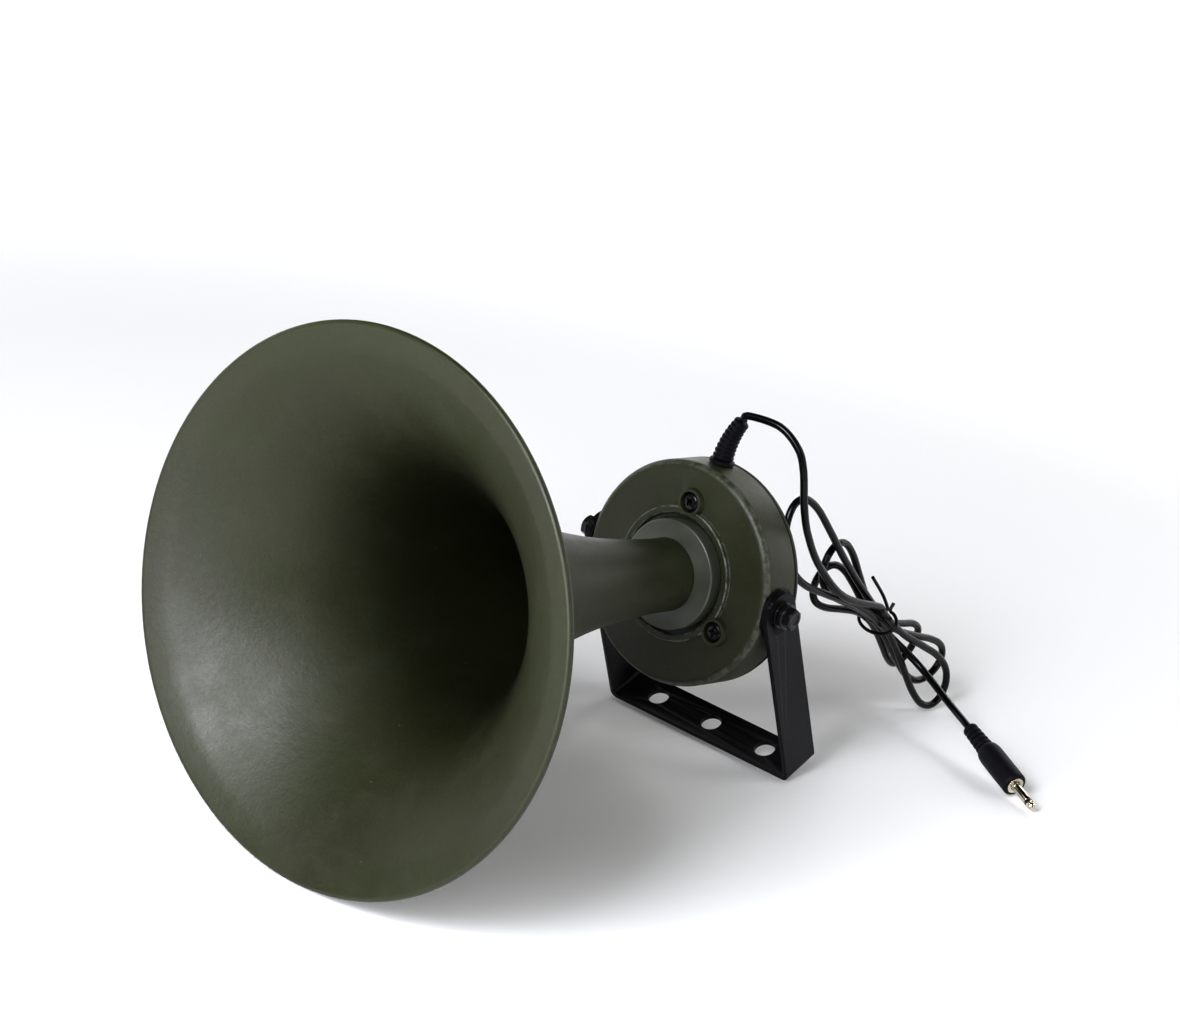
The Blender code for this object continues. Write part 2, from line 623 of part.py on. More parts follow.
# ---- pivots and bracket ------------------------------------------------------------------------------
def build_pivots():
    """Threaded insert, rubber, flat and spring washer and hexagon bolt on each side."""
    leg_outer = BRACKET_OUTER
    insert_end = CASE_RADIUS - INSERT_DEPTH
    insert_tip = BOLT_BOSS_END + GAP
    rubber_seat = CASE_RADIUS - PIVOT_FLAT_DEPTH + GAP
    for word, side in (("right", 1.0), ("left", -1.0)):
        turn = (0.0, side * 0.5 * math.pi, 0.0)
        insert = turned(f"pivot_insert_{word}", [
            (INSERT_RADIUS, insert_end), (INSERT_RADIUS, insert_tip),
            (BOLT_SHANK_RADIUS + GAP, insert_tip), (BOLT_SHANK_RADIUS + GAP, insert_end),
        ], BRASS, segments=20)
        rubber = turned(f"rubber_washer_{word}", rounded([
            (RUBBER_RADIUS, rubber_seat + RUBBER_THICKNESS), (RUBBER_RADIUS, rubber_seat),
            (BOLT_SHANK_RADIUS + GAP, rubber_seat), (BOLT_SHANK_RADIUS + GAP, rubber_seat + RUBBER_THICKNESS),
        ], 2), RUBBER, segments=24)
        flat_top = leg_outer + GAP + 0.8 * MM
        flat = turned(f"flat_washer_{word}", rounded([
            (5.2 * MM, flat_top), (5.2 * MM, leg_outer + GAP),
            (BOLT_SHANK_RADIUS + GAP, leg_outer + GAP), (BOLT_SHANK_RADIUS + GAP, flat_top),
        ], 2), BLACK_ZINC, segments=24)
        spring_base = flat_top + GAP
        spring_top = spring_base + 1.1 * MM
        spring = turned(f"spring_washer_{word}", [
            (4.1 * MM, spring_top), (4.1 * MM, spring_base),
            (BOLT_SHANK_RADIUS + GAP, spring_base), (BOLT_SHANK_RADIUS + GAP, spring_top),
        ], BLACK_ZINC, segments=24)
        split = to_cutters(block(f"spring_split_{word}", None, (6.0 * MM, 0.7 * MM, 6.0 * MM), (0, 0, 0)))
        split.location = (side * (spring_base + 0.5 * MM), 3.4 * MM, 0.0)
        split.rotation_euler = (math.radians(20.0), 0.0, math.radians(30.0))
        head_base = spring_top + GAP
        bolt = turned(f"pivot_bolt_{word}", rounded([
            (0.0, head_base + 1.1 * MM),
            (5.0 * MM, head_base + 0.8 * MM, 0.4 * MM),
            (5.0 * MM, head_base),
            (BOLT_SHANK_RADIUS, head_base),
            (BOLT_SHANK_RADIUS, insert_tip + 0.8 * MM, 0.4 * MM),
            (0.0, insert_tip + 0.8 * MM),
        ], 2), BLACK_ZINC, closed=False, segments=18)
        hexagon = to_cutters(cylinders(f"bolt_hexagon_{word}", None, [
            (4.3 * MM, (0.0, 0.0, head_base + 0.4 * MM), (0.0, 0.0, head_base + 3.8 * MM)),
        ], 6))
        edge_bevel(hexagon, 0.5 * MM, 2, 60.0)
        dish = to_cutters(cylinders(f"bolt_dish_{word}", None, [
            (2.6 * MM, (0.0, 0.0, head_base + 3.2 * MM), (0.0, 0.0, head_base + 5.0 * MM)),
        ], 14))
        boolean(bolt, hexagon, 'UNION')
        boolean(bolt, dish)
        for made in (insert, rubber, flat, spring, bolt, hexagon, dish):
            made.rotation_euler = turn
        boolean(spring, split)


def build_bracket():
    """U bracket: one strap bent twice, with round leg ends and three holes in its base."""
    mesh = bpy.data.meshes.new("bracket")
    bm = bmesh.new()
    half = 0.5 * STRAP_WIDTH
    radius = BEND_RADIUS
    outline = [Vector((BRACKET_OUTER, 0.0))]
    for k in range(5):
        turn = math.radians(22.5 * k)
        outline.append(Vector((BRACKET_OUTER - radius + radius * math.cos(turn),
                               -BRACKET_DROP + radius - radius * math.sin(turn))))
    right = [(p.x, p.y, z) for z in (-half, half) for p in outline]
    count = len(outline)
    rows = [[bm.verts.new(right[row * count + i]) for i in range(count)] for row in (0, 1)]
    for i in range(count - 1):
        bm.faces.new((rows[0][i], rows[1][i], rows[1][i + 1], rows[0][i + 1]))
    middle = [bm.verts.new((0.0, -BRACKET_DROP, z)) for z in (-half, half)]
    bm.faces.new((rows[0][-1], rows[1][-1], middle[1], middle[0]))
    bm.to_mesh(mesh)
    bm.free()
    bracket = add("bracket", mesh, BLACK_METAL, bracket_pivot)
    mirror = bracket.modifiers.new("left_half", 'MIRROR')
    mirror.use_axis = (True, False, False)
    mirror.merge_threshold = 0.00001
    sheet = bracket.modifiers.new("strap", 'SOLIDIFY')
    sheet.thickness = STRAP_THICKNESS
    sheet.offset = -1.0
    sheet.use_even_offset = True
    ends = to_cutters(cylinders("bracket_leg_ends", None, [
        (half, (side * BRACKET_OUTER, 0.0, 0.0), (side * (BRACKET_OUTER - STRAP_THICKNESS), 0.0, 0.0))
        for side in (-1.0, 1.0)
    ], 24, bracket_pivot))
    reach = BRACKET_OUTER + 14.0 * MM
    drills = [(PIVOT_HOLE_RADIUS, (-reach, 0.0, 0.0), (reach, 0.0, 0.0))]
    for k in (-1, 0, 1):
        x = k * BASE_HOLE_PITCH
        drills.append((BASE_HOLE_RADIUS, (x, -BRACKET_DROP - 9.5 * MM, 0.0),
                       (x, 10.5 * MM - BRACKET_DROP, 0.0)))
    holes = to_cutters(cylinders("bracket_holes", None, drills, 24, bracket_pivot))
    boolean(bracket, ends, 'UNION')
    boolean(bracket, holes)
    return bracket


# ---- cord --------------------------------------------------------------------------------------------
def boot_axis(share):
    """Point and direction on the bent axis of the boot."""
    bend = math.radians(30.0)
    start = Vector((0.0, CASE_RADIUS + 0.6 * MM, BOOT_Z))
    radius = BOOT_LENGTH / bend
    turn = bend * share
    point = start + Vector((radius * (1.0 - math.cos(turn)), radius * math.sin(turn), 0.0))
    return point, Vector((math.sin(turn), math.cos(turn), 0.0))


def build_boot():
    """Ribbed strain relief that leans to the right on its plinth."""
    path = [Vector((0.0, BOOT_END, BOOT_Z)), Vector((0.0, CASE_RADIUS - 0.6 * MM, BOOT_Z))]
    radii = [BOOT_NECK, BOOT_NECK]
    path += [Vector((0.0, CASE_RADIUS + 0.35 * MM, BOOT_Z)), Vector((0.0, CASE_RADIUS + 0.45 * MM, BOOT_Z)),
             boot_axis(0.06)[0]]
    radii += [BOOT_NECK, 4.9 * MM, 4.7 * MM]
    for k in range(BOOT_RIBS):
        share = 0.09 + 0.91 * k / BOOT_RIBS
        width = 0.91 / BOOT_RIBS
        size = (4.25 - 1.25 * share) * MM
        path += [boot_axis(share)[0], boot_axis(share + 0.14 * width)[0],
                 boot_axis(share + 0.62 * width)[0], boot_axis(share + 0.76 * width)[0]]
        radii += [size - 0.7 * MM, size, size, size - 0.7 * MM]
    path.append(boot_axis(1.0)[0])
    radii.append(radii[-1])
    return tube("cord_boot", path, 1.0 * MM, RUBBER, [r / MM for r in radii], 2)


LEAD_ROUTE = [(20.0, 65.5, -6.0), (29.0, 60.0, -8.0), (33.0, 52.5, -9.5), (35.7, 38.2, -12.5),
              (35.2, 26.5, -20.5), (33.8, 12.1, -36.0), (34.1, -2.1, -58.0)]

TAIL_ROUTE = [(24.5, -31.0, -121.0), (35.0, -38.5, -127.0), (54.0, -46.0, -123.5)]


def hank_frame():
    """Directions of the hank: along it from the lean point down, across it and through it."""
    down = (TIE_POINT - LEAN_POINT).normalized()
    through = Vector((1.0, 0.0, 0.0))
    through = (through - down * through.dot(down)).normalized()
    across = down.cross(through).normalized()
    if across.y < 0.0:
        across = -across
    return down, across, through


# each fold of the hank, in mm: reach along it (0 is up to the lean point), half width, shift of its
# belly and of its end across the hank, shift of its end through the hank
FOLDS = [(61.0, 8.4, 0.0, -3.2, 0.0), (0.0, 11.5, -6.0, 0.0, -5.0), (58.0, 8.6, 2.0, 7.0, 0.0),
         (-56.0, 9.0, 0.0, 1.0, 0.0), (44.0, 8.4, 3.0, 4.5, 0.0), (-42.0, 8.0, -2.0, -6.0, 0.0)]


def strand(number):
    """Where a strand passes through the tie: across and through offsets."""
    side = 1.0 if number % 2 == 0 else -1.0
    return Vector((side * 1.55 * MM, (3 - number) * STRAND_STEP))


def hank_points():
    """One unbroken line that passes the tie seven times and folds back six times."""
    down, across, through = hank_frame()
    points = []

    def place(reach, offset):
        points.append(TIE_POINT + down * reach + across * offset.x + through * offset.y)

    entry = strand(0)
    place(-14.0 * MM, entry)
    place(-11.0 * MM, entry)
    half_loop = POINTS_A_LOOP // 2
    for number, (reach, width, belly_shift, end_shift, through_shift) in enumerate(FOLDS):
        reach = reach * MM if reach else -(TIE_POINT - LEAN_POINT).length
        before = strand(number)
        after = strand(number + 1)
        for k in range(half_loop + (number == 0)):
            share = (k + (number > 0)) / half_loop
            turn = math.pi * share
            sine = math.sin(turn)
            belly = 2.6 * width * MM * sine ** 2 * math.cos(turn)
            side = 1.0 if number % 2 == 0 else -1.0
            offset = before.lerp(after, 0.5 - 0.5 * math.cos(turn))
            spread = 1.0 + 1.0 * sine ** 2
            shift = belly_shift * MM * math.sin(2.0 * turn) ** 2 + end_shift * MM * sine ** 4
            offset = Vector((offset.x + side * belly + shift,
                             offset.y * spread + through_shift * MM * sine ** 6))
            if share < 1.0 or number < len(FOLDS) - 1:
                place(reach * sine, offset)
    exit_side = strand(len(FOLDS))
    place(0.0, exit_side)
    place(11.0 * MM, exit_side)
    place(14.0 * MM, exit_side)
    return points


def least_gap(points, radius):
    """Least gap between stretches of one wound tube that are not neighbours."""
    fine = []
    for p, q in zip(points, points[1:]):
        for k in range(8):
            fine.append(p.lerp(q, k / 8))
    fine.append(points[-1])
    along = [0.0]
    for p, q in zip(fine, fine[1:]):
        along.append(along[-1] + (q - p).length)
    least = 1.0
    for i, p in enumerate(fine):
        for j in range(i + 1, len(fine)):
            if along[j] - along[i] > 14.0 * radius:
                least = min(least, (fine[j] - p).length)
    return least - 2.0 * radius


def free_cord(name, start, leaving, route, end, arriving, samples):
    """A free stretch of cord whose two ends run straight for one diameter."""
    straight = 2.0 * CORD_RADIUS
    inner = [start + leaving * straight, *route, end - arriving * straight]
    path, length = smooth_path(inner, samples)
    tube(name, [start, *path, end], CORD_RADIUS, PVC)
    return length + 2.0 * straight


def build_cord():
    """Lead from the boot, tied hank, tail and plug."""
    top, direction = boot_axis(1.0)
    start = top + direction * GAP
    hank = hank_points()
    down, across, through = hank_frame()
    entry = hank[0] - down * GAP
    lead_length = free_cord("cord_lead", start, direction, [Vector(p) * MM for p in LEAD_ROUTE],
                            entry, down, 32)
    tube("cord_hank", hank, CORD_RADIUS, PVC, resolution=1)
    leave = hank[-1] + down * GAP
    plug_back = PLUG_FACE - PLUG_AXIS * 37.0 * MM
    tail_end = plug_back - PLUG_AXIS * GAP
    tail_route = [Vector(p) * MM for p in TAIL_ROUTE]
    tail_length = free_cord("cord_tail", leave, down, tail_route, tail_end, PLUG_AXIS, 16)
    hank_length = sum((q - p).length for p, q in zip(hank, hank[1:]))
    print(f"hank: least gap {least_gap(hank, CORD_RADIUS) / MM:.2f} mm")
    print(f"cord: lead {lead_length / MM:.0f}, hank {hank_length / MM:.0f}, tail {tail_length / MM:.0f} mm")


def build_tie():
    """Thin wire tie: one open turn round the strands, with its twisted end standing up."""
    down, across, through = hank_frame()
    path = []
    a = 5.7 * MM
    b = 9.2 * MM
    path.append(TIE_POINT + (across * 8.6 + through * 3.4 - down * 2.2) * MM)
    for k in range(22):
        turn = math.radians(22.0 + 340.0 * k / 21)
        path.append(TIE_POINT + across * a * math.cos(turn) + through * b * math.sin(turn)
                    + down * (-1.6 + 3.2 * k / 21) * MM)
    last = path[-1]
    path.append(last + (across * 1.4 - down * 1.0 - through * 0.6) * MM)
    path.append(last + (across * 3.2 - down * 8.0 - through * 1.2) * MM)
    path.append(last + (across * 4.6 - down * 20.0 - through * 2.0) * MM)
    return tube("hank_tie", path, 0.7 * MM, PVC, resolution=1)


def build_plug():
    """Moulded 3.5 mm plug: body with ribbed relief, washer, sleeve, insulator and tip."""
    turn = Vector((0.0, 0.0, 1.0)).rotation_difference(PLUG_AXIS).to_euler()
    relief = [(1.9 * MM, -37.0 * MM)]
    for k in range(5):
        z = -36.6 + 2.7 * k
        size = 3.1 + 0.13 * k
        relief += [(size * MM, z * MM), (size * MM, (z + 1.6) * MM),
                   ((size - 0.7) * MM, (z + 1.8) * MM), ((size - 0.7) * MM, (z + 2.5) * MM)]
    corners = [(0.0, -37.0 * MM), *relief, (4.3 * MM, -22.6 * MM), (4.9 * MM, -20.0 * MM),
               (5.0 * MM, -17.0 * MM), (5.0 * MM, -1.0 * MM, 0.8 * MM), (4.2 * MM, 0.0), (3.85 * MM, 0.0),
               (3.85 * MM, -1.0 * MM), (0.0, -1.0 * MM)]
    pieces = [
        turned("plug_body", rounded(corners, 3)[::-1], RUBBER, closed=False, segments=14),
        turned("plug_washer", [(3.5 * MM, 0.3 * MM), (3.5 * MM, -0.7 * MM),
                               (2.05 * MM, -0.7 * MM), (2.05 * MM, 0.3 * MM)], NICKEL, segments=20),
        turned("plug_sleeve", [(0.0, 10.0 * MM), (1.5 * MM, 10.0 * MM), (1.75 * MM, 9.8 * MM),
                               (1.75 * MM, -0.7 * MM), (0.0, -0.7 * MM)],
               NICKEL, closed=False, segments=18),
        turned("plug_insulator", [(0.0, 11.1 * MM), (1.7 * MM, 11.1 * MM), (1.7 * MM, 10.3 * MM),
                                  (0.0, 10.3 * MM)], WHITE_PLASTIC, closed=False, segments=18),
        turned("plug_tip", [(0.0, 14.6 * MM), (0.75 * MM, 14.45 * MM), (1.6 * MM, 13.4 * MM),
                            (1.7 * MM, 13.0 * MM), (1.25 * MM, 12.2 * MM), (1.7 * MM, 11.7 * MM),
                            (1.7 * MM, 11.4 * MM), (0.0, 11.4 * MM)],
               NICKEL, closed=False, segments=18),
    ]
    for made in pieces:
        made.location = PLUG_FACE
        made.rotation_euler = turn


build_horn()
build_collar()
build_case()
build_gasket()
build_cover()
build_case_screws()
ledge_z, yoke_part, motor_back = build_motor()
build_terminals(ledge_z)
build_pivots()
build_bracket()
build_boot()
build_cord()
build_tie()
build_plug()
print(f"horn axis tilted {math.degrees(TILT):.2f} deg, pivot {PIVOT_HEIGHT / MM:.2f} mm over the floor")
print(f"motor ends {motor_back / MM:.2f} mm from the pivot plane")
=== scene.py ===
"""Horn loudspeaker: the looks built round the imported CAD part.

The speaker's own frame has +X to the right of someone who faces the mouth, +Y to the speaker's top and
+Z out of the mouth; z = 0 is the plane of the bracket's pivot.  Lengths are in metres.
"""

from __future__ import annotations

import logging
import math
from dataclasses import dataclass, field
from enum import Enum
from typing import Any, Iterable, Sequence

import bmesh
import bpy
from mathutils import Matrix, Vector


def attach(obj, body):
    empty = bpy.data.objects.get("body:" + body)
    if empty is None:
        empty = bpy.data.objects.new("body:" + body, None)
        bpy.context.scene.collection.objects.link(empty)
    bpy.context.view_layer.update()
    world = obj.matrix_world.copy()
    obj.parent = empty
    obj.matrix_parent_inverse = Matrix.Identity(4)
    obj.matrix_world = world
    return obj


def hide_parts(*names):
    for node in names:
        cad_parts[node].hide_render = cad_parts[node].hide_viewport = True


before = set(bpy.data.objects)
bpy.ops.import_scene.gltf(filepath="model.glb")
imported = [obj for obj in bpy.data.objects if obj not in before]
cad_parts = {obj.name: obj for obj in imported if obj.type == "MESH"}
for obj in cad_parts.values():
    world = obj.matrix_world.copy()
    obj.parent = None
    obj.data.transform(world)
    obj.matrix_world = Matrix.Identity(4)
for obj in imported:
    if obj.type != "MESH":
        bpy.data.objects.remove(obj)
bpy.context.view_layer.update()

LOG = logging.getLogger("horn_loudspeaker")
MM = 0.001
GAP = 0.3 * MM
Profile = Sequence[Sequence[float]]


class Body(Enum):
    """CAD bodies that pieces ride on."""

    SPEAKER = "speaker"
    BRACKET = "bracket"
    DIAPHRAGM = "diaphragm"


# ---- where the speaker stands ----------------------------------------------------------------------------


@dataclass(frozen=True)
class Stance:
    """How the speaker stands: the rim's lowest point and the bracket's front edge are on the floor."""

    mouth_radius: float = 100.0 * MM
    mouth_z: float = 193.7 * MM
    bead: float = 1.5 * MM
    drop: float = 80.5 * MM
    strap_width: float = 17.0 * MM
    swing: float = math.radians(31.3)

    def numbers(self) -> tuple[float, float, float]:
        """Work out the stance.

        Returns:
            Tilt of the horn's axis, height of the pivot, and the pivot's place along Y.
        """
        rim_z = self.mouth_z - self.bead
        rim_y = -(self.mouth_radius - self.bead)
        sin_a, cos_a = math.sin(self.swing), math.cos(self.swing)
        half = 0.5 * self.strap_width
        edge_z = -self.drop * sin_a + half * cos_a
        edge_y = -self.drop * cos_a - half * sin_a
        reach = math.hypot(rim_z - edge_z, rim_y - edge_y)
        tilt = math.atan2(edge_y - rim_y, rim_z - edge_z) + math.asin(self.bead / reach)
        height = -(edge_z * math.sin(tilt) + edge_y * math.cos(tilt))
        front = -rim_z * math.cos(tilt) + rim_y * math.sin(tilt) - self.bead
        back_z = -self.drop * sin_a - half * cos_a
        back_y = -self.drop * cos_a + half * sin_a
        back = -back_z * math.cos(tilt) + back_y * math.sin(tilt)
        return tilt, height, -0.5 * (front + back)

    def speaker(self) -> Matrix:
        """Placement of the speaker's frame in the row frame.

        Returns:
            The placement.
        """
        tilt, height, back = self.numbers()
        turn = Matrix.Rotation(0.5 * math.pi - tilt, 4, "X")
        return Matrix.Translation((0.0, back, height)) @ turn

    def bracket(self) -> Matrix:
        """Placement of the bracket's frame in the row frame."""
        return self.speaker() @ Matrix.Rotation(self.swing, 4, "X")


STANCE = Stance()
SPEAKER_FRAME = STANCE.speaker()
BRACKET_FRAME = STANCE.bracket()


# ---- shader maths ----------------------------------------------------------------------------------------


class Signal:
    """A value socket on which Python's operators add Math nodes."""

    def __init__(self, shader: "Shader", socket: bpy.types.NodeSocket) -> None:
        """Wrap a socket.

        Args:
            shader: the material that the socket belongs to.
            socket: an output socket that carries a value.
        """
        self.shader = shader
        self.socket = socket

    def _math(self, operation: str, *values: Any, clamp: bool = False) -> "Signal":
        """Add one Math node.

        Args:
            operation: the node's operation.
            values: its inputs in order.
            clamp: whether the result is kept from 0 to 1.

        Returns:
            The result.
        """
        settings = {"operation": operation, "use_clamp": clamp}
        made = self.shader.node("ShaderNodeMath", settings, dict(enumerate(values)))
        return Signal(self.shader, made.outputs[0])

    def __add__(self, other: Any) -> "Signal":
        """Sum."""
        return self._math("ADD", self, other)

    __radd__ = __add__

    def __sub__(self, other: Any) -> "Signal":
        """Difference."""
        return self._math("SUBTRACT", self, other)

    def __rsub__(self, other: Any) -> "Signal":
        """Difference with the signal second."""
        return self._math("SUBTRACT", other, self)

    def __mul__(self, other: Any) -> "Signal":
        """Product."""
        return self._math("MULTIPLY", self, other)

    __rmul__ = __mul__

    def __truediv__(self, other: Any) -> "Signal":
        """Quotient."""
        return self._math("DIVIDE", self, other)

    def __pow__(self, other: Any) -> "Signal":
        """Power."""
        return self._math("POWER", self, other)

    def __gt__(self, other: Any) -> "Signal":
        """One where the signal is greater, else zero."""
        return self._math("GREATER_THAN", self, other)

    def clamped(self) -> "Signal":
        """The signal kept from 0 to 1."""
        return self._math("ADD", self, 0.0, clamp=True)

    def between(self, low: float, high: float) -> "Signal":
        """A smooth step from 0 at low to 1 at high.

        Args:
            low: where the step starts.
            high: where it ends.

        Returns:
            The step.
        """
        settings = {"interpolation_type": "SMOOTHSTEP", "clamp": True}
        values = {"Value": self, "From Min": low, "From Max": high, "To Min": 0.0, "To Max": 1.0}
        made = self.shader.node("ShaderNodeMapRange", settings, values)
        return Signal(self.shader, made.outputs["Result"])


class Shader:
    """One node material."""

    def __init__(self, name: str) -> None:
        """Start a material with its Principled shader.

        Args:
            name: the material's name.
        """
        self.material = bpy.data.materials.new("look_" + name)
        self.material.use_nodes = True
        self.tree = self.material.node_tree
        self.principled = self.tree.nodes["Principled BSDF"]
        self.coordinates = self.node("ShaderNodeTexCoord").outputs["Object"]

    def node(
        self, kind: str, settings: dict[str, Any] | None = None, values: dict[Any, Any] | None = None
    ) -> bpy.types.Node:
        """Add a node.

        Args:
            kind: the node's type.
            settings: attributes of the node, set first.
            values: values or links of its input sockets, by name or number.

        Returns:
            The node.
        """
        made = self.tree.nodes.new(kind)
        for key, value in (settings or {}).items():
            setattr(made, key, value)
        for key, value in (values or {}).items():
            self.feed(made.inputs[key], value)
        return made

    def feed(self, socket: bpy.types.NodeSocket, value: Any) -> None:
        """Set or link an input socket.

        Args:
            socket: the input.
            value: a number, a tuple, a Signal or an output socket.
        """
        if isinstance(value, Signal):
            value = value.socket
        if isinstance(value, bpy.types.NodeSocket):
            self.tree.links.new(value, socket)
        elif isinstance(value, tuple) and len(value) == 3 and len(socket.default_value) == 4:
            socket.default_value = (*value, 1.0)
        else:
            socket.default_value = value

    def noise(self, scale: float, detail: float = 3.0, rough: float = 0.5, stretch: Any = None) -> Signal:
        """Noise over the piece in its own coordinates.

        Args:
            scale: how many features a metre.
            detail: octaves.
            rough: how strong the finer octaves are.
            stretch: optional scale along each axis.

        Returns:
            The noise, from 0 to 1.
        """
        place = self.coordinates
        if stretch is not None:
            place = self.node("ShaderNodeMapping", None, {"Vector": place, "Scale": stretch}).outputs[0]
        values = {"Vector": place, "Scale": scale, "Detail": detail, "Roughness": rough}
        made = self.node("ShaderNodeTexNoise", {"noise_dimensions": "3D"}, values)
        return Signal(self, made.outputs[0])

    def specks(self, scale: float, size: float, share: float) -> Signal:
        """Small round specks strewn over the piece.

        Args:
            scale: cells a metre.
            size: radius of a speck as a share of its cell.
            share: share of the cells that have one.

        Returns:
            One on a speck, else zero.
        """
        values = {"Vector": self.coordinates, "Scale": scale}
        cells = self.node("ShaderNodeTexVoronoi", {"feature": "F1"}, values)
        near = 1.0 - Signal(self, cells.outputs["Distance"]).between(0.6 * size, size)
        parts = self.node("ShaderNodeSeparateColor", None, {"Color": cells.outputs["Color"]})
        chosen = Signal(self, parts.outputs[0]) > 1.0 - share
        return near * chosen

    def mix(self, factor: Any, a: Any, b: Any) -> bpy.types.NodeSocket:
        """Mix two colours.

        Args:
            factor: 0 for a, 1 for b.
            a: first colour.
            b: second colour.

        Returns:
            The mixed colour's socket.
        """
        made = self.node("ShaderNodeMix", {"data_type": "RGBA"})
        self.feed(made.inputs["Factor"], factor)
        self.feed(made.inputs[6], a)
        self.feed(made.inputs[7], b)
        return made.outputs[2]

    def bump(self, height: Signal, distance: float, strength: float = 1.0) -> None:
        """Feed the shader's normal from a height.

        Args:
            height: the height, in units of distance.
            distance: metres for a height of one.
            strength: how much of it shows.
        """
        values = {"Height": height, "Distance": distance, "Strength": strength}
        made = self.node("ShaderNodeBump", None, values)
        self.feed(self.principled.inputs["Normal"], made.outputs["Normal"])

    def attribute(self, name: str) -> Signal:
        """A number kept on the mesh's points; zero on a mesh without it.

        Args:
            name: the attribute's name.

        Returns:
            The number.
        """
        return Signal(self, self.node("ShaderNodeAttribute", {"attribute_name": name}).outputs["Fac"])

    def distance(self) -> Signal:
        """Distance from the piece's own origin, in metres."""
        made = self.node("ShaderNodeVectorMath", {"operation": "LENGTH"}, {0: self.coordinates})
        return Signal(self, made.outputs["Value"])

    def crevice(self, reach: float) -> Signal:
        """How closed in the surface is: 0 in the open, 1 in a tight corner.

        Args:
            reach: how far, in metres, the neighbouring surfaces count.
        """
        near = self.node("ShaderNodeAmbientOcclusion", {"samples": 8}, {"Distance": reach})
        return 1.0 - Signal(self, near.outputs["AO"])

    def darken(self, share: Signal) -> None:
        """Lay painted shade over the finish: a dull dark diffuse layer.

        Args:
            share: how much of the finish the painted shade hides, from 0 to 1.
        """
        painted_shade = self.node("ShaderNodeBsdfDiffuse", None, {"Color": (0.001, 0.001, 0.0005)})
        mixed = self.node("ShaderNodeMixShader", None, {0: share})
        output = self.tree.nodes["Material Output"]
        self.tree.links.new(self.principled.outputs[0], mixed.inputs[1])
        self.tree.links.new(painted_shade.outputs[0], mixed.inputs[2])
        self.tree.links.new(mixed.outputs[0], output.inputs["Surface"])

    def set(self, **sockets: Any) -> None:
        """Set or feed sockets of the Principled shader; an underscore in a name stands for a space."""
        for key, value in sockets.items():
            self.feed(self.principled.inputs[key.replace("_", " ")], value)


# ---- finishes --------------------------------------------------------------------------------------------


@dataclass(frozen=True)
class OliveEnamel:
    """Matte olive enamel sprayed on the horn, the drum and the cover, mottled and slightly grainy, with
    painted shade in crevices and in the horn's throat and a painted highlight on the rounded edges.
    """

    name: str = "olive_enamel"
    base: tuple[float, float, float] = (0.0190, 0.0228, 0.0050)
    pale: tuple[float, float, float] = (0.0360, 0.0410, 0.0170)
    brown: tuple[float, float, float] = (0.0150, 0.0168, 0.0036)
    roughness: float = 0.44
    grain: float = 0.00009
    throat_shade: float = 0.75

    def build(self) -> bpy.types.Material:
        """Make the material.

        Returns:
            The material.
        """
        s = Shader(self.name)
        cloud = s.noise(14.0, 3.0, 0.5)
        blotch = s.noise(55.0, 4.0, 0.6)
        fine = s.noise(900.0, 2.0, 0.6)
        colour = s.mix(cloud.between(0.35, 0.70), self.base, self.brown)
        colour = s.mix(blotch.between(0.45, 0.85) * 0.45, colour, self.pale)
        colour = s.mix(s.noise(1400.0, 2.0, 0.7).between(0.50, 0.75) * 0.5, colour, self.pale)
        # Painted shade: the colour darkens in crevices and tight corners, where shade falls.
        colour = s.mix(s.crevice(0.004).between(0.25, 0.95) * 0.75, colour, (0.004, 0.0044, 0.0015))
        # Light paint on the rounded edges of the ring and the drum's front: partly rubbed-through wear,
        # partly a painted highlight.
        wear_and_highlight = s.attribute("rub") * s.noise(330.0, 3.0, 0.7).between(0.34, 0.62)
        colour = s.mix(wear_and_highlight * 0.75, colour, (0.20, 0.22, 0.19))
        dust = s.specks(210.0, 0.10, 0.05)
        colour = s.mix(dust * 0.5, colour, (0.12, 0.124, 0.10))
        orange_peel = s.noise(320.0, 2.0, 0.5)
        rough = self.roughness + blotch.between(0.3, 0.8) * 0.10 + (fine - 0.5) * 0.12
        s.set(Base_Color=colour, Roughness=rough, Specular_IOR_Level=0.5)
        s.bump(fine * 0.5 + orange_peel * 0.9 + dust * 0.8, self.grain)
        # Painted shade: a dark diffuse layer over the inner throat of the horn, by the throat mask.
        s.darken(s.attribute("deep") * self.throat_shade)
        return s.material


@dataclass(frozen=True)
class CollarPlastic:
    """Smooth semi-gloss olive plastic of the collar, with dust and faint turning marks."""

    name: str = "olive_collar"
    base: tuple[float, float, float] = (0.0560, 0.0620, 0.0460)
    roughness: float = 0.30

    def build(self) -> bpy.types.Material:
        """Make the material.

        Returns:
            The material.
        """
        s = Shader(self.name)
        cloud = s.noise(60.0, 3.0, 0.5)
        colour = s.mix(cloud.between(0.35, 0.75) * 0.6, self.base, (0.1000, 0.1060, 0.0840))
        dust = s.specks(420.0, 0.10, 0.10)
        large = s.specks(120.0, 0.045, 0.10)
        colour = s.mix((dust * 0.3 + large * 0.7).clamped(), colour, (0.20, 0.21, 0.18))
        scuff = s.noise(260.0, 3.0, 0.6)
        s.set(Base_Color=colour, Specular_IOR_Level=0.8)
        s.set(Roughness=self.roughness + scuff.between(0.4, 0.9) * 0.16)
        s.bump(scuff * 0.5 + dust * 1.2, 0.00003)
        return s.material


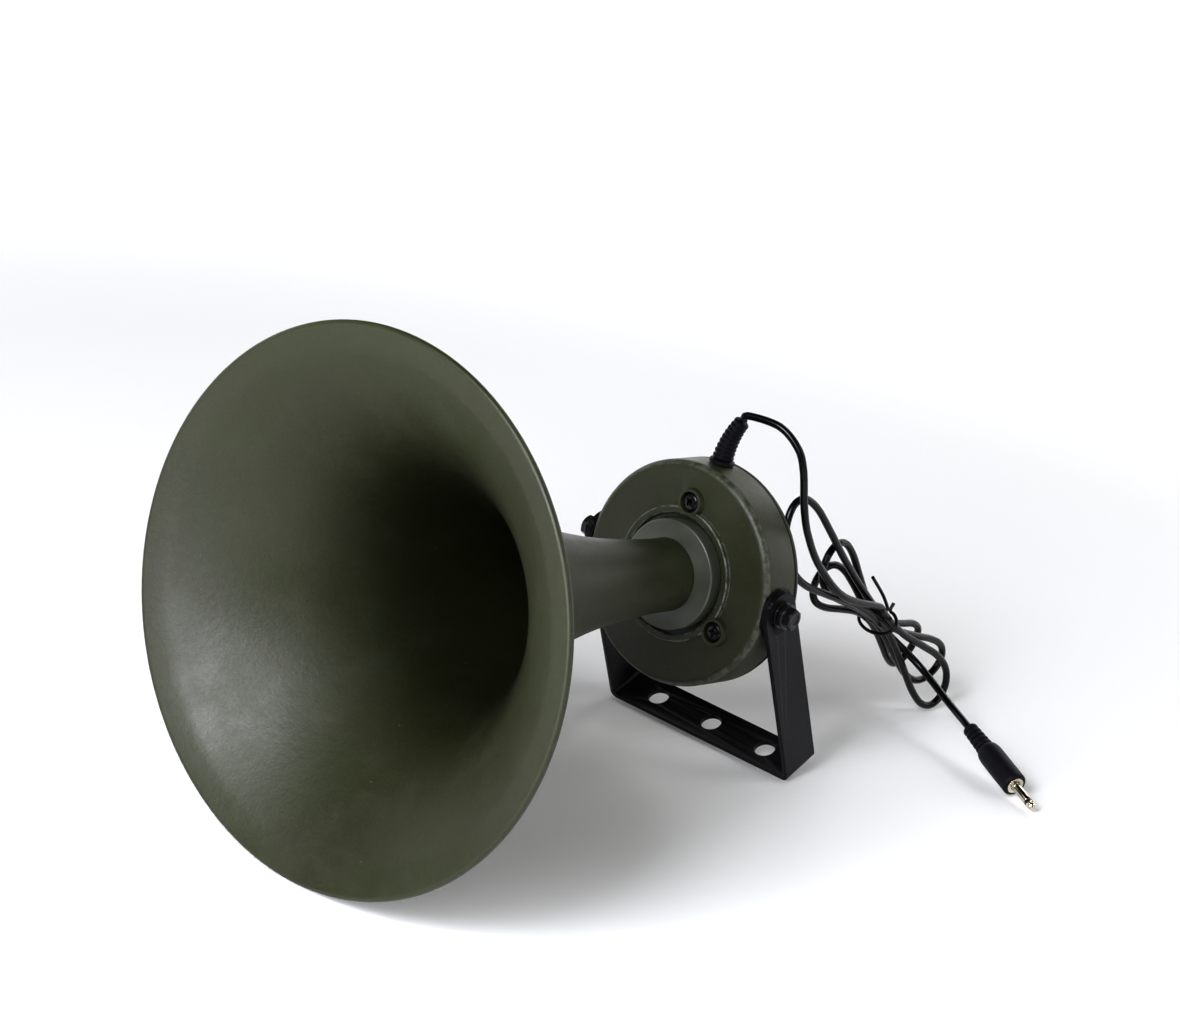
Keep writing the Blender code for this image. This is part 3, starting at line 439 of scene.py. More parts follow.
@dataclass(frozen=True)
class BlackPaint:
    """Satin black paint of the bracket with a bluish sheen, fine texture and a few dust specks."""

    name: str = "black_painted_steel"
    base: tuple[float, float, float] = (0.0018, 0.0019, 0.0032)
    roughness: float = 0.40

    def build(self) -> bpy.types.Material:
        """Make the material.

        Returns:
            The material.
        """
        s = Shader(self.name)
        peel = s.noise(700.0, 3.0, 0.6)
        cloud = s.noise(45.0, 3.0, 0.5)
        dust = s.specks(260.0, 0.09, 0.06)
        colour = s.mix(cloud.between(0.4, 0.8) * 0.6, self.base, (0.0045, 0.0047, 0.0065))
        colour = s.mix(dust * 0.6, colour, (0.10, 0.10, 0.11))
        s.set(Base_Color=colour, Specular_IOR_Level=0.2)
        s.set(Roughness=self.roughness + cloud * 0.10 + (peel - 0.5) * 0.14)
        s.bump(peel + dust * 0.6, 0.00004)
        return s.material


@dataclass(frozen=True)
class BlackSteel:
    """Glossy blackened steel of the screws, bolts and washers, with fine handling scratches."""

    name: str = "blackened_steel"
    base: tuple[float, float, float] = (0.014, 0.014, 0.015)
    roughness: float = 0.20

    def build(self) -> bpy.types.Material:
        """Make the material.

        Returns:
            The material.
        """
        s = Shader(self.name)
        scratch = s.noise(420.0, 4.0, 0.65, (1.0, 6.0, 1.0))
        patch = s.noise(160.0, 3.0, 0.5)
        colour = s.mix(patch.between(0.55, 0.85) * 0.5, self.base, (0.050, 0.048, 0.045))
        s.set(Base_Color=colour, Metallic=0.55)
        s.set(Roughness=self.roughness + scratch.between(0.45, 0.8) * 0.22)
        s.bump(scratch, 0.00002)
        return s.material


@dataclass(frozen=True)
class Rubber:
    """Moulded blue-black rubber or soft plastic: matte, slightly dusty."""

    name: str = "black_rubber"
    base: tuple[float, float, float] = (0.0034, 0.0035, 0.0055)
    roughness: float = 0.50

    def build(self) -> bpy.types.Material:
        """Make the material.

        Returns:
            The material.
        """
        s = Shader(self.name)
        skin = s.noise(1200.0, 3.0, 0.6)
        dusty = s.noise(190.0, 4.0, 0.6)
        colour = s.mix(dusty.between(0.5, 0.9) * 0.5, self.base, (0.010, 0.0105, 0.014))
        s.set(Base_Color=colour, Roughness=self.roughness + (dusty - 0.5) * 0.2, Specular_IOR_Level=0.15)
        s.bump(skin, 0.00004)
        return s.material


@dataclass(frozen=True)
class CordPvc:
    """Glossy black PVC of the cord's jacket, with the faint waviness of extrusion."""

    name: str = "cord_pvc"
    base: tuple[float, float, float] = (0.0015, 0.0015, 0.0020)
    roughness: float = 0.20

    def build(self) -> bpy.types.Material:
        """Make the material.

        Returns:
            The material.
        """
        s = Shader(self.name)
        wave = s.noise(240.0, 2.0, 0.5)
        smear = s.noise(90.0, 4.0, 0.6)
        colour = s.mix(smear.between(0.55, 0.9) * 0.5, self.base, (0.004, 0.004, 0.005))
        s.set(Base_Color=colour, Specular_IOR_Level=0.22)
        s.set(Roughness=self.roughness + smear.between(0.4, 0.8) * 0.10)
        s.bump(wave, 0.00006)
        return s.material


@dataclass(frozen=True)
class BrightMetal:
    """Plated or bare metal with fine turning marks and light tarnish."""

    name: str
    base: tuple[float, float, float]
    tarnish: tuple[float, float, float]
    roughness: float

    def build(self) -> bpy.types.Material:
        """Make the material.

        Returns:
            The material.
        """
        s = Shader(self.name)
        marks = s.noise(900.0, 3.0, 0.6)
        stain = s.noise(220.0, 4.0, 0.6)
        colour = s.mix(stain.between(0.45, 0.85) * 0.6, self.base, self.tarnish)
        s.set(Base_Color=colour, Metallic=1.0)
        s.set(Roughness=self.roughness + stain.between(0.4, 0.9) * 0.14 + (marks - 0.5) * 0.06)
        s.bump(marks, 0.00001)
        return s.material


@dataclass(frozen=True)
class PlainMoulding:
    """A moulded, pressed or sintered insulating material with a fine grain."""

    name: str
    base: tuple[float, float, float]
    fleck: tuple[float, float, float]
    roughness: float

    def build(self) -> bpy.types.Material:
        """Make the material.

        Returns:
            The material.
        """
        s = Shader(self.name)
        grain = s.noise(800.0, 4.0, 0.65)
        cloud = s.noise(120.0, 3.0, 0.5)
        colour = s.mix(grain.between(0.5, 0.8) * 0.6, self.base, self.fleck)
        s.set(Base_Color=colour, Roughness=self.roughness + (cloud - 0.5) * 0.2)
        s.bump(grain, 0.00003)
        return s.material


@dataclass(frozen=True)
class LabelPaper:
    """Bare bluish-white label stock, slightly glossy, with a faint ripple."""

    name: str = "blank_label"
    base: tuple[float, float, float] = (0.78, 0.81, 0.88)

    def build(self) -> bpy.types.Material:
        """Make the material.

        Returns:
            The material.
        """
        s = Shader(self.name)
        ripple = s.noise(130.0, 2.0, 0.4)
        fibre = s.noise(1500.0, 3.0, 0.6)
        colour = s.mix(fibre.between(0.5, 0.9) * 0.3, self.base, (0.70, 0.73, 0.80))
        s.set(Base_Color=colour, Roughness=0.32 + fibre * 0.08)
        s.bump(ripple + fibre * 0.1, 0.00004)
        return s.material


class Finish(Enum):
    """The finishes on the speaker, each with the record's slot that it belongs to."""

    OLIVE = (OliveEnamel(), "olive_enamel")
    COLLAR = (CollarPlastic(), "olive_collar")
    BLACK_PAINT = (BlackPaint(), "black_painted_steel")
    BLACK_STEEL = (BlackSteel(), "blackened_steel")
    RUBBER = (Rubber(), "black_rubber")
    PVC = (CordPvc(), "cord_pvc")
    NICKEL = (BrightMetal("nickel", (0.66, 0.61, 0.50), (0.42, 0.36, 0.26), 0.16), "nickel")
    BRASS = (BrightMetal("brass", (0.62, 0.46, 0.20), (0.40, 0.27, 0.11), 0.30), "brass")
    ZINC = (BrightMetal("zinc_steel", (0.52, 0.52, 0.51), (0.36, 0.36, 0.33), 0.32), "zinc_steel")
    FOIL = (BrightMetal("dome_foil", (0.44, 0.44, 0.42), (0.32, 0.32, 0.30), 0.30), "dome_foil")
    COPPER = (BrightMetal("copper_wire", (0.58, 0.24, 0.11), (0.38, 0.13, 0.06), 0.30), "copper_wire")
    PHENOLIC = (PlainMoulding("phenolic", (0.030, 0.018, 0.010), (0.055, 0.032, 0.016), 0.5), "phenolic")
    FERRITE = (PlainMoulding("ferrite", (0.030, 0.030, 0.032), (0.050, 0.050, 0.052), 0.6), "ferrite")
    FILM = (PlainMoulding("coil_film", (0.42, 0.19, 0.04), (0.50, 0.25, 0.07), 0.3), "coil_film")
    INSULATOR = (PlainMoulding("plug_insulator", (0.012, 0.012, 0.012), (0.03, 0.03, 0.03), 0.3),
                 "plug_insulator")
    LABEL = (LabelPaper(), None)

    def material(self) -> bpy.types.Material:
        """The finish's material, made once."""
        recipe = self.value[0]
        return bpy.data.materials.get("look_" + recipe.name) or recipe.build()

    @property
    def slot(self) -> str | None:
        """Name of the record's material slot."""
        return self.value[1]


# ---- mesh tools ------------------------------------------------------------------------------------------


def rounded(corners: Profile, arc_points: int = 8) -> list[tuple[float, float]]:
    """A profile from (r, z) corners; a third number rounds that corner to a radius.

    Args:
        corners: the corners in order.
        arc_points: steps in each rounding.

    Returns:
        The profile's points.
    """
    path: list[tuple[float, float]] = []
    count = len(corners)
    for i, corner in enumerate(corners):
        here = Vector(corner[:2])
        if len(corner) == 2:
            path.append((here.x, here.y))
            continue
        before = (Vector(corners[i - 1][:2]) - here).normalized()
        after = (Vector(corners[(i + 1) % count][:2]) - here).normalized()
        half = 0.5 * before.angle(after)
        centre = here + (before + after).normalized() * (corner[2] / math.sin(half))
        start = here + before * (corner[2] / math.tan(half)) - centre
        end = here + after * (corner[2] / math.tan(half)) - centre
        for k in range(arc_points + 1):
            spot = centre + start.lerp(end, k / arc_points).normalized() * corner[2]
            path.append((spot.x, spot.y))
    return path


def finished_mesh(bm: bmesh.types.BMesh, name: str, angle: float = 35.0) -> bpy.types.Mesh:
    """Turn a bmesh into a smooth-shaded mesh with its sharp edges marked.

    Args:
        bm: the bmesh, which is freed.
        name: the mesh's name.
        angle: degrees from which an edge is sharp.

    Returns:
        The mesh.
    """
    bmesh.ops.remove_doubles(bm, verts=bm.verts, dist=1e-7)
    bmesh.ops.recalc_face_normals(bm, faces=bm.faces)
    mesh = bpy.data.meshes.new(name)
    bm.to_mesh(mesh)
    bm.free()
    mesh.shade_smooth()
    mesh.set_sharp_from_angle(angle=math.radians(angle))
    return mesh


def turned(name: str, profile: Profile, segments: int = 128, closed: bool = True) -> bpy.types.Mesh:
    """Turn an (r, z) profile round the Z axis.

    Args:
        name: the mesh's name.
        profile: the points in order.
        segments: how many steps round the axis.
        closed: whether the last point joins the first.

    Returns:
        The mesh.
    """
    bm = bmesh.new()
    rings = []
    for r, z in profile:
        if r < 1e-7:
            rings.append([bm.verts.new((0.0, 0.0, z))])
            continue
        turns = [2.0 * math.pi * k / segments for k in range(segments)]
        rings.append([bm.verts.new((r * math.cos(t), r * math.sin(t), z)) for t in turns])
    pairs = list(zip(rings, rings[1:]))
    if closed:
        pairs.append((rings[-1], rings[0]))
    for a, b in pairs:
        if len(a) == 1 and len(b) == 1:
            continue
        for k in range(segments):
            after = (k + 1) % segments
            corners = [a[k % len(a)], a[after % len(a)], b[after % len(b)], b[k % len(b)]]
            unique = list(dict.fromkeys(corners))
            if len(unique) > 2:
                bm.faces.new(unique)
    return finished_mesh(bm, name)


def swept(name: str, path: Sequence[Vector], radii: Sequence[float], around: int = 24) -> bpy.types.Mesh:
    """A round body along a path with its own radius at each point.

    Args:
        name: the mesh's name.
        path: centreline points.
        radii: radius at each point.
        around: steps round the centreline.

    Returns:
        The mesh.
    """
    bm = bmesh.new()
    rings = []
    side = None
    for i, point in enumerate(path):
        ahead = (path[min(i + 1, len(path) - 1)] - path[max(i - 1, 0)]).normalized()
        if side is None:
            side = ahead.orthogonal().normalized()
        side = (side - ahead * side.dot(ahead)).normalized()
        other = ahead.cross(side)
        ring = []
        for k in range(around):
            turn = 2.0 * math.pi * k / around
            ring.append(bm.verts.new(point + (side * math.cos(turn) + other * math.sin(turn)) * radii[i]))
        rings.append(ring)
    for a, b in zip(rings, rings[1:]):
        for k in range(around):
            after = (k + 1) % around
            bm.faces.new((a[k], a[after], b[after], b[k]))
    bm.faces.new(rings[0][::-1])
    bm.faces.new(rings[-1])
    return finished_mesh(bm, name)


def cylinders(name: str, pieces: Iterable[tuple], segments: int = 72) -> bpy.types.Mesh:
    """One mesh of cylinders or cones.

    Args:
        name: the mesh's name.
        pieces: (radius, one end, other end), with an optional radius at the other end.
        segments: steps round each.

    Returns:
        The mesh.
    """
    bm = bmesh.new()
    for piece in pieces:
        radius, low, high = piece[0], Vector(piece[1]), Vector(piece[2])
        turn = Vector((0.0, 0.0, 1.0)).rotation_difference(high - low).to_matrix().to_4x4()
        matrix = Matrix.Translation(0.5 * (low + high)) @ turn
        top = piece[3] if len(piece) > 3 else radius
        bmesh.ops.create_cone(
            bm, cap_ends=True, segments=segments, radius1=radius, radius2=top,
            depth=(high - low).length, matrix=matrix,
        )
    mesh = bpy.data.meshes.new(name)
    bm.to_mesh(mesh)
    bm.free()
    return mesh


def boxes(name: str, pieces: Iterable[tuple[Matrix, tuple[float, float, float]]]) -> bpy.types.Mesh:
    """One mesh of boxes.

    Args:
        name: the mesh's name.
        pieces: placement and size of each.

    Returns:
        The mesh.
    """
    bm = bmesh.new()
    for matrix, size in pieces:
        bmesh.ops.create_cube(bm, size=1.0, matrix=matrix @ Matrix.Diagonal((*size, 1.0)))
    mesh = bpy.data.meshes.new(name)
    bm.to_mesh(mesh)
    bm.free()
    return mesh


def carved(
    mesh: bpy.types.Mesh, steps: Sequence[tuple[str, bpy.types.Mesh]], bevel: float = 0.0, angle: float = 35.0
) -> bpy.types.Mesh:
    """Cut and join a mesh with others, then round its new edges.

    Args:
        mesh: the mesh to start from.
        steps: Boolean operation and operand, in order.
        bevel: width of the rounding, none at 0.
        angle: degrees from which an edge is sharp.

    Returns:
        The finished mesh.
    """
    scene = bpy.context.scene
    base = bpy.data.objects.new("carving", mesh)
    scene.collection.objects.link(base)
    helpers = [base]
    for operation, operand in steps:
        helper = bpy.data.objects.new("operand", operand)
        scene.collection.objects.link(helper)
        helpers.append(helper)
        step = base.modifiers.new("step", "BOOLEAN")
        step.operation = operation
        step.solver = "EXACT"
        step.object = helper
    if bevel:
        step = base.modifiers.new("edges", "BEVEL")
        step.width = bevel
        step.segments = 2
        step.limit_method = "ANGLE"
        step.angle_limit = math.radians(38.0)
        step.miter_outer = "MITER_ARC"
    result = bpy.data.meshes.new_from_object(base.evaluated_get(bpy.context.evaluated_depsgraph_get()))
    result.name = mesh.name + "_carved"
    for helper in helpers:
        bpy.data.objects.remove(helper)
    result.shade_smooth()
    result.set_sharp_from_angle(angle=math.radians(angle))
    return result


def smooth_points(route: Sequence[Vector], spacing: float) -> list[Vector]:
    """Points at even spacing on a Catmull-Rom curve.

    Args:
        route: the points that the curve passes through.
        spacing: distance between the new points.

    Returns:
        The new points.
    """
    ends = [2 * route[0] - route[1], *route, 2 * route[-1] - route[-2]]
    fine: list[Vector] = []
    for a, b, c, d in zip(ends, ends[1:], ends[2:], ends[3:]):
        for k in range(24):
            t = k / 24
            fine.append(
                0.5 * (2 * b + (c - a) * t + (2 * a - 5 * b + 4 * c - d) * t**2
                       + (3 * b - a - 3 * c + d) * t**3)
            )
    fine.append(route[-1])
    along = [0.0]
    for p, q in zip(fine, fine[1:]):
        along.append(along[-1] + (q - p).length)
    count = max(2, round(along[-1] / spacing) + 1)
    even = []
    k = 0
    for i in range(count):
        want = along[-1] * i / (count - 1)
        while k < len(along) - 2 and along[k + 1] < want:
            k += 1
        share = (want - along[k]) / max(along[k + 1] - along[k], 1e-9)
        even.append(fine[k].lerp(fine[k + 1], share))
    return even


def path_length(points: Sequence[Vector]) -> float:
    """Length of a polyline."""
    return sum((q - p).length for p, q in zip(points, points[1:]))


def place(
    data: bpy.types.Mesh | bpy.types.Curve,
    finish: Finish,
    matrix: Matrix = SPEAKER_FRAME,
    body: Body = Body.SPEAKER,
    nodes: Sequence[str] = (),
    name: str | None = None,
) -> bpy.types.Object:
    """Make a piece from a mesh or curve, dress it and let it ride on its body.

    Args:
        data: the mesh or curve.
        finish: its finish.
        matrix: placement in the row frame.
        body: the CAD body that it rides on.
        nodes: CAD nodes that it stands for.
        name: the piece's name, else the mesh's.

    Returns:
        The piece.
    """
    made = bpy.data.objects.new(name or "look_" + data.name.split(".")[0], data)
    bpy.context.scene.collection.objects.link(made)
    data.transform(matrix)
    data.materials.clear()
    data.materials.append(finish.material())
    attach(made, body.value)
    if nodes:
        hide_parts(*nodes)
    LOG.info("%s rides on %s", made.name, body.value)
    return made


def dress(node: str, finish: Finish) -> bpy.types.Object:
    """Give a CAD node that stays its finish.

    Args:
        node: the node's name.
        finish: its finish.

    Returns:
        The node's object.
    """
    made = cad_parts[node]
    made.data.materials.clear()
    made.data.materials.append(finish.material())
    LOG.info("%s is dressed", node)
    return made


# ---- sub-assemblies --------------------------------------------------------------------------------------


@dataclass
class StrainRelief:
    """The ribbed boot on the drum, which leans to the right."""

    case_radius: float = 43.7 * MM
    z: float = -3.5 * MM
    length: float = 19.0 * MM
    bend: float = math.radians(30.0)
    ribs: int = 9

    def axis(self, share: float) -> tuple[Vector, Vector]:
        """Point and direction on the bent axis.

        Args:
            share: 0 at the plinth, 1 at the cord.

        Returns:
            The point and the direction there.
        """
        start = Vector((0.0, self.case_radius + 0.6 * MM, self.z))
        radius = self.length / self.bend
        turn = self.bend * share
        point = start + Vector((radius * (1.0 - math.cos(turn)), radius * math.sin(turn), 0.0))
        return point, Vector((math.sin(turn), math.cos(turn), 0.0))

    def build(self) -> bpy.types.Object:
        """Sweep the boot along its axis.

        Returns:
            The boot.
        """
        path = [Vector((0.0, 40.0 * MM, self.z)), Vector((0.0, self.case_radius + 0.35 * MM, self.z))]
        radii = [2.9 * MM, 2.9 * MM]
        for lift, radius in ((0.40, 4.75), (0.44, 4.9)):
            path.append(Vector((0.0, self.case_radius + lift * MM, self.z)))
            radii.append(radius * MM)
        for share, radius in ((0.052, 4.85), (0.060, 4.7), (0.066, 4.2)):
            path.append(self.axis(share)[0])
            radii.append(radius * MM)
        width = 0.91 / self.ribs
        for k in range(self.ribs):
            share = 0.09 + 0.91 * k / self.ribs
            size = (4.25 - 1.25 * share) * MM
            for at, drop in ((0.0, 0.75), (0.06, 0.50), (0.12, 0.16), (0.20, 0.03), (0.33, 0.0), (0.46, 0.0),
                             (0.60, 0.03), (0.68, 0.16), (0.74, 0.50), (0.80, 0.75), (0.90, 0.78)):
                path.append(self.axis(share + at * width)[0])
                radii.append(size - drop * MM)
        end = radii[-1]
        for share, radius in ((0.992, end), (0.998, end - 0.12 * MM), (1.0, end - 0.3 * MM)):
            path.append(self.axis(share)[0])
            radii.append(radius)
        return place(swept("strain_relief", path, radii, 48), Finish.RUBBER, nodes=["cord_boot"])


@dataclass
class Plug:
    """The moulded 3.5 mm plug at the far end of the cord."""

    face: Vector = field(default_factory=lambda: Vector((103.7, -59.35, -105.3)) * MM)
    axis: Vector = field(default_factory=lambda: Vector((0.911, -0.251, 0.329)).normalized())

    def placement(self) -> Matrix:
        """Placement of the plug in the row frame, with +Z out of its tip."""
        turn = Vector((0.0, 0.0, 1.0)).rotation_difference(self.axis).to_matrix().to_4x4()
        return SPEAKER_FRAME @ Matrix.Translation(self.face) @ turn

    def body_mesh(self) -> bpy.types.Mesh:
        """Ribbed relief and shouldered barrel.

        Returns:
            The mesh.
        """
        points = [(0.0, -37.0), (1.9, -37.0)]
        for k in range(5):
            z = -36.6 + 2.7 * k
            size = 3.1 + 0.13 * k
            points += [(size - 0.45, z), (size - 0.12, z + 0.12), (size, z + 0.4), (size, z + 1.2),
                       (size - 0.12, z + 1.55), (size - 0.45, z + 1.75), (size - 0.7, z + 1.9),
                       (size - 0.7, z + 2.45)]
        points += [(3.35, -23.4), (3.9, -23.1), (4.3, -22.5), (4.65, -21.5), (4.85, -20.2), (4.97, -18.6),
                   (5.0, -17.0), (5.0, -1.0), (4.93, -0.6), (4.75, -0.25), (4.5, -0.06), (4.2, 0.0),
                   (3.95, 0.0), (3.85, -0.1), (3.85, -1.0), (0.0, -1.0)]
        return turned("plug_body", [(r * MM, z * MM) for r, z in points], 96, closed=False)

    def build(self) -> list[bpy.types.Object]:
        """Build the plug's pieces.

        Returns:
            The pieces.
        """
        at = self.placement()
        washer = rounded([(3.5 * MM, 0.3 * MM, 0.15 * MM), (3.5 * MM, -0.7 * MM), (2.05 * MM, -0.7 * MM),
                          (2.05 * MM, 0.3 * MM, 0.1 * MM)], 4)
        sleeve = [(0.0, 10.0), (1.4, 10.0), (1.55, 9.97), (1.68, 9.9), (1.75, 9.75), (1.75, 0.5), (1.9, 0.35),
                  (1.9, 0.0), (1.75, -0.1), (1.75, -0.7), (0.0, -0.7)]
        ring = [(0.0, 11.1), (1.6, 11.1), (1.7, 11.0), (1.7, 10.4), (1.6, 10.3), (0.0, 10.3)]
        tip = [(0.0, 14.6), (0.35, 14.57), (0.75, 14.4), (1.1, 14.1), (1.4, 13.7), (1.62, 13.3), (1.7, 13.0),
               (1.66, 12.75), (1.45, 12.4), (1.28, 12.15), (1.3, 12.0), (1.5, 11.85), (1.7, 11.7),
               (1.7, 11.4), (0.0, 11.4)]
        made = [place(self.body_mesh(), Finish.RUBBER, at, nodes=["plug_body"]),
                place(turned("plug_washer", washer, 96), Finish.NICKEL, at, nodes=["plug_washer"])]
        for name, points, finish in (("plug_sleeve", sleeve, Finish.NICKEL),
                                     ("plug_insulator", ring, Finish.INSULATOR),
                                     ("plug_tip", tip, Finish.NICKEL)):
            mesh = turned(name, [(r * MM, z * MM) for r, z in points], 96, closed=False)
            made.append(place(mesh, finish, at, nodes=[name]))
        return made


@dataclass
class Cord:
    """The thin black cord: lead from the boot, tied hank and tail to the plug."""

    boot: StrainRelief
    plug: Plug
    radius: float = 1.5 * MM
    lead: tuple = ((20.0, 65.5, -6.0), (29.0, 60.0, -8.0), (33.0, 52.5, -9.5), (35.7, 38.2, -12.5),
                   (35.2, 26.5, -20.5), (33.8, 12.1, -36.0), (34.1, -2.1, -58.0))
    tail: tuple = ((24.5, -31.0, -121.0), (35.0, -38.5, -127.0), (54.0, -46.0, -123.5))
    tie_point: Vector = field(default_factory=lambda: Vector((26.0, -18.7, -100.0)) * MM)
    lean_point: Vector = field(default_factory=lambda: Vector((28.0, 35.4, -15.7)) * MM)
    folds: tuple = ((61.0, 8.4, 0.0, -3.2, 0.0), (0.0, 11.5, -6.0, 0.0, -5.0), (58.0, 8.6, 2.0, 7.0, 0.0),
                    (-56.0, 9.0, 0.0, 1.0, 0.0), (44.0, 8.4, 3.0, 4.5, 0.0), (-42.0, 8.0, -2.0, -6.0, 0.0))
    strand_step: float = 1.8 * MM
    points_a_loop: int = 24

    def directions(self) -> tuple[Vector, Vector, Vector]:
        """Directions along the hank from the lean point down, across it and through it.

        Returns:
            The three directions.
        """
        down = (self.tie_point - self.lean_point).normalized()
        through = Vector((1.0, 0.0, 0.0))
        through = (through - down * through.dot(down)).normalized()
        across = down.cross(through).normalized()
        return down, across if across.y >= 0.0 else -across, through

    def strand(self, number: int) -> Vector:
        """Where a strand passes through the tie: across and through offsets."""
        side = 1.0 if number % 2 == 0 else -1.0
        return Vector((side * 1.55 * MM, (3 - number) * self.strand_step))

    def hank(self) -> list[Vector]:
        """The line that passes the tie seven times and folds back six times.

        Returns:
            The points.
        """
        down, across, through = self.directions()
        points: list[Vector] = []

        def put(reach: float, offset: Vector) -> None:
            """Add a point at a reach along the hank with its sideways offsets."""
            points.append(self.tie_point + down * reach + across * offset.x + through * offset.y)

        put(-14.0 * MM, self.strand(0))
        put(-11.0 * MM, self.strand(0))
        half_loop = self.points_a_loop // 2
        for number, (reach, width, belly_shift, end_shift, through_shift) in enumerate(self.folds):
            reach = reach * MM if reach else -(self.tie_point - self.lean_point).length
            before, after = self.strand(number), self.strand(number + 1)
            side = 1.0 if number % 2 == 0 else -1.0
            for k in range(half_loop + (number == 0)):
                share = (k + (number > 0)) / half_loop
                turn = math.pi * share
                sine = math.sin(turn)
                offset = before.lerp(after, 0.5 - 0.5 * math.cos(turn))
                belly = 2.6 * width * MM * sine**2 * math.cos(turn)
                shift = belly_shift * MM * math.sin(2.0 * turn) ** 2 + end_shift * MM * sine**4
                offset = Vector((offset.x + side * belly + shift,
                                 offset.y * (1.0 + sine**2) + through_shift * MM * sine**6))
                if share < 1.0 or number < len(self.folds) - 1:
                    put(reach * sine, offset)
        for reach in (0.0, 11.0 * MM, 14.0 * MM):
            put(reach, self.strand(len(self.folds)))
        return points

    def centreline(self) -> list[Vector]:
        """The whole cord's line, from the boot to the plug.

        Returns:
            The points.
        """
        top, leaving = self.boot.axis(1.0)
        plug_back = self.plug.face - self.plug.axis * 37.0 * MM
        straight = 2.0 * self.radius
        route = [top + leaving * GAP, top + leaving * (GAP + straight)]
        route += [Vector(p) * MM for p in self.lead]
        route += self.hank()
        route += [Vector(p) * MM for p in self.tail]
        route += [plug_back - self.plug.axis * (GAP + straight), plug_back - self.plug.axis * GAP]
        return smooth_points(route, 1.1 * MM)

    def build(self) -> bpy.types.Object:
        """Returns:
            The cord.
        """
        points = self.centreline()
        curve = bpy.data.curves.new("cord", "CURVE")
        curve.dimensions = "3D"
        curve.bevel_depth = self.radius
        curve.bevel_resolution = 5
        curve.use_fill_caps = True
        spline = curve.splines.new("POLY")
        spline.points.add(len(points) - 1)
        for spot, point in zip(spline.points, points):
            spot.co = (*point, 1.0)
        spline.use_smooth = True
        made = place(curve, Finish.PVC, nodes=["cord_lead", "cord_hank", "cord_tail"])
        tie = self.tie()
        pieces = self.plug.build()
        start = SPEAKER_FRAME @ points[0]
        round(path_length(points), 3)
        LOG.info("the cord is %.0f mm long", path_length(points) / MM)
        return made

    def tie(self) -> bpy.types.Object:
        """The thin wire tie: one open turn round the strands, with its twisted end standing up.

        Returns:
            The tie.
        """
        down, across, through = self.directions()
        path = [self.tie_point + (across * 8.6 + through * 3.4 - down * 2.2) * MM]
        for k in range(22):
            turn = math.radians(22.0 + 340.0 * k / 21)
            path.append(self.tie_point + across * 5.7 * MM * math.cos(turn)
                        + through * 9.2 * MM * math.sin(turn) + down * (-1.6 + 3.2 * k / 21) * MM)
        last = path[-1]
        path.append(last + (across * 1.4 - down * 1.0 - through * 0.6) * MM)
        path.append(last + (across * 3.2 - down * 8.0 - through * 1.2) * MM)
        path.append(last + (across * 4.6 - down * 20.0 - through * 2.0) * MM)
        line = smooth_points(path, 0.6 * MM)
        mesh = swept("hank_tie", line, [0.7 * MM] * len(line), 16)
        return place(mesh, Finish.PVC, nodes=["hank_tie"])


@dataclass
class Horn:
    """The flared horn: neck and bell in one shell with a rolled edge."""

    case_front: float = 8.6 * MM
    neck_radius: float = 14.0 * MM
    neck_power: float = 2.3
    lip_power: float = 8.0
    lip_share: float = 0.3
    shaded: tuple[float, float] = (36.0 * MM, 66.0 * MM)
    shade_centre: tuple[float, float] = (6.0 * MM, 5.0 * MM)
    wall: float = 1.8 * MM
    segments: int = 288

    def flare(self, z: float) -> float:
        """Outer radius at height z.

        Args:
            z: height along the axis.

        Returns:
            The radius.
        """
        share = max(0.0, z - self.case_front) / (STANCE.mouth_z - self.case_front)
        opening = (1.0 - self.lip_share) * share**self.neck_power + self.lip_share * share**self.lip_power
        return self.neck_radius + (STANCE.mouth_radius - STANCE.bead - self.neck_radius) * opening

    def build(self) -> bpy.types.Object:
        """Turn the horn.

        Returns:
            The horn.
        """
        rear = self.case_front - 0.7 * MM
        top = STANCE.mouth_z - 3.6 * MM
        steps = 72
        outer, inner = [], []
        for i in range(steps + 1):
            z = self.case_front + (top - self.case_front) * (i / steps) ** 0.85
            slope = (self.flare(z + 0.1 * MM) - self.flare(z - 0.1 * MM)) / (0.2 * MM)
            size = math.hypot(1.0, slope)
            outer.append((self.flare(z), z))
            inner.append((self.flare(z) - self.wall / size, z + self.wall * slope / size))
        bead = []
        for angle in range(118, -100, -9):
            turn = math.radians(angle)
            bead.append((STANCE.mouth_radius - STANCE.bead + STANCE.bead * math.cos(turn),
                         STANCE.mouth_z - STANCE.bead + STANCE.bead * math.sin(turn)))
        end = [(self.neck_radius, rear), (self.neck_radius - self.wall, rear)]
        profile = bead + outer[::-1] + end + inner
        mesh = turned("horn", profile, self.segments)
        self.shade(mesh)
        return place(mesh, Finish.OLIVE, nodes=["horn"])

    def shade(self, mesh: bpy.types.Mesh) -> None:
        """Mark how deep in the bell each point of the inner surface is, for the painted shade in the throat.

        Args:
            mesh: the horn, about the Z axis.
        """
        deep = mesh.attributes.new("deep", "FLOAT", "POINT")
        near, far = self.shaded
        for vertex in mesh.vertices:
            radius = math.hypot(vertex.co.x - self.shade_centre[0], vertex.co.y - self.shade_centre[1])
            inside = vertex.normal.x * vertex.co.x + vertex.normal.y * vertex.co.y < 0.0
            share = min(1.0, max(0.0, (far - radius) / (far - near)))
            deep.data[vertex.index].value = share * share * (3.0 - 2.0 * share) if inside else 0.0


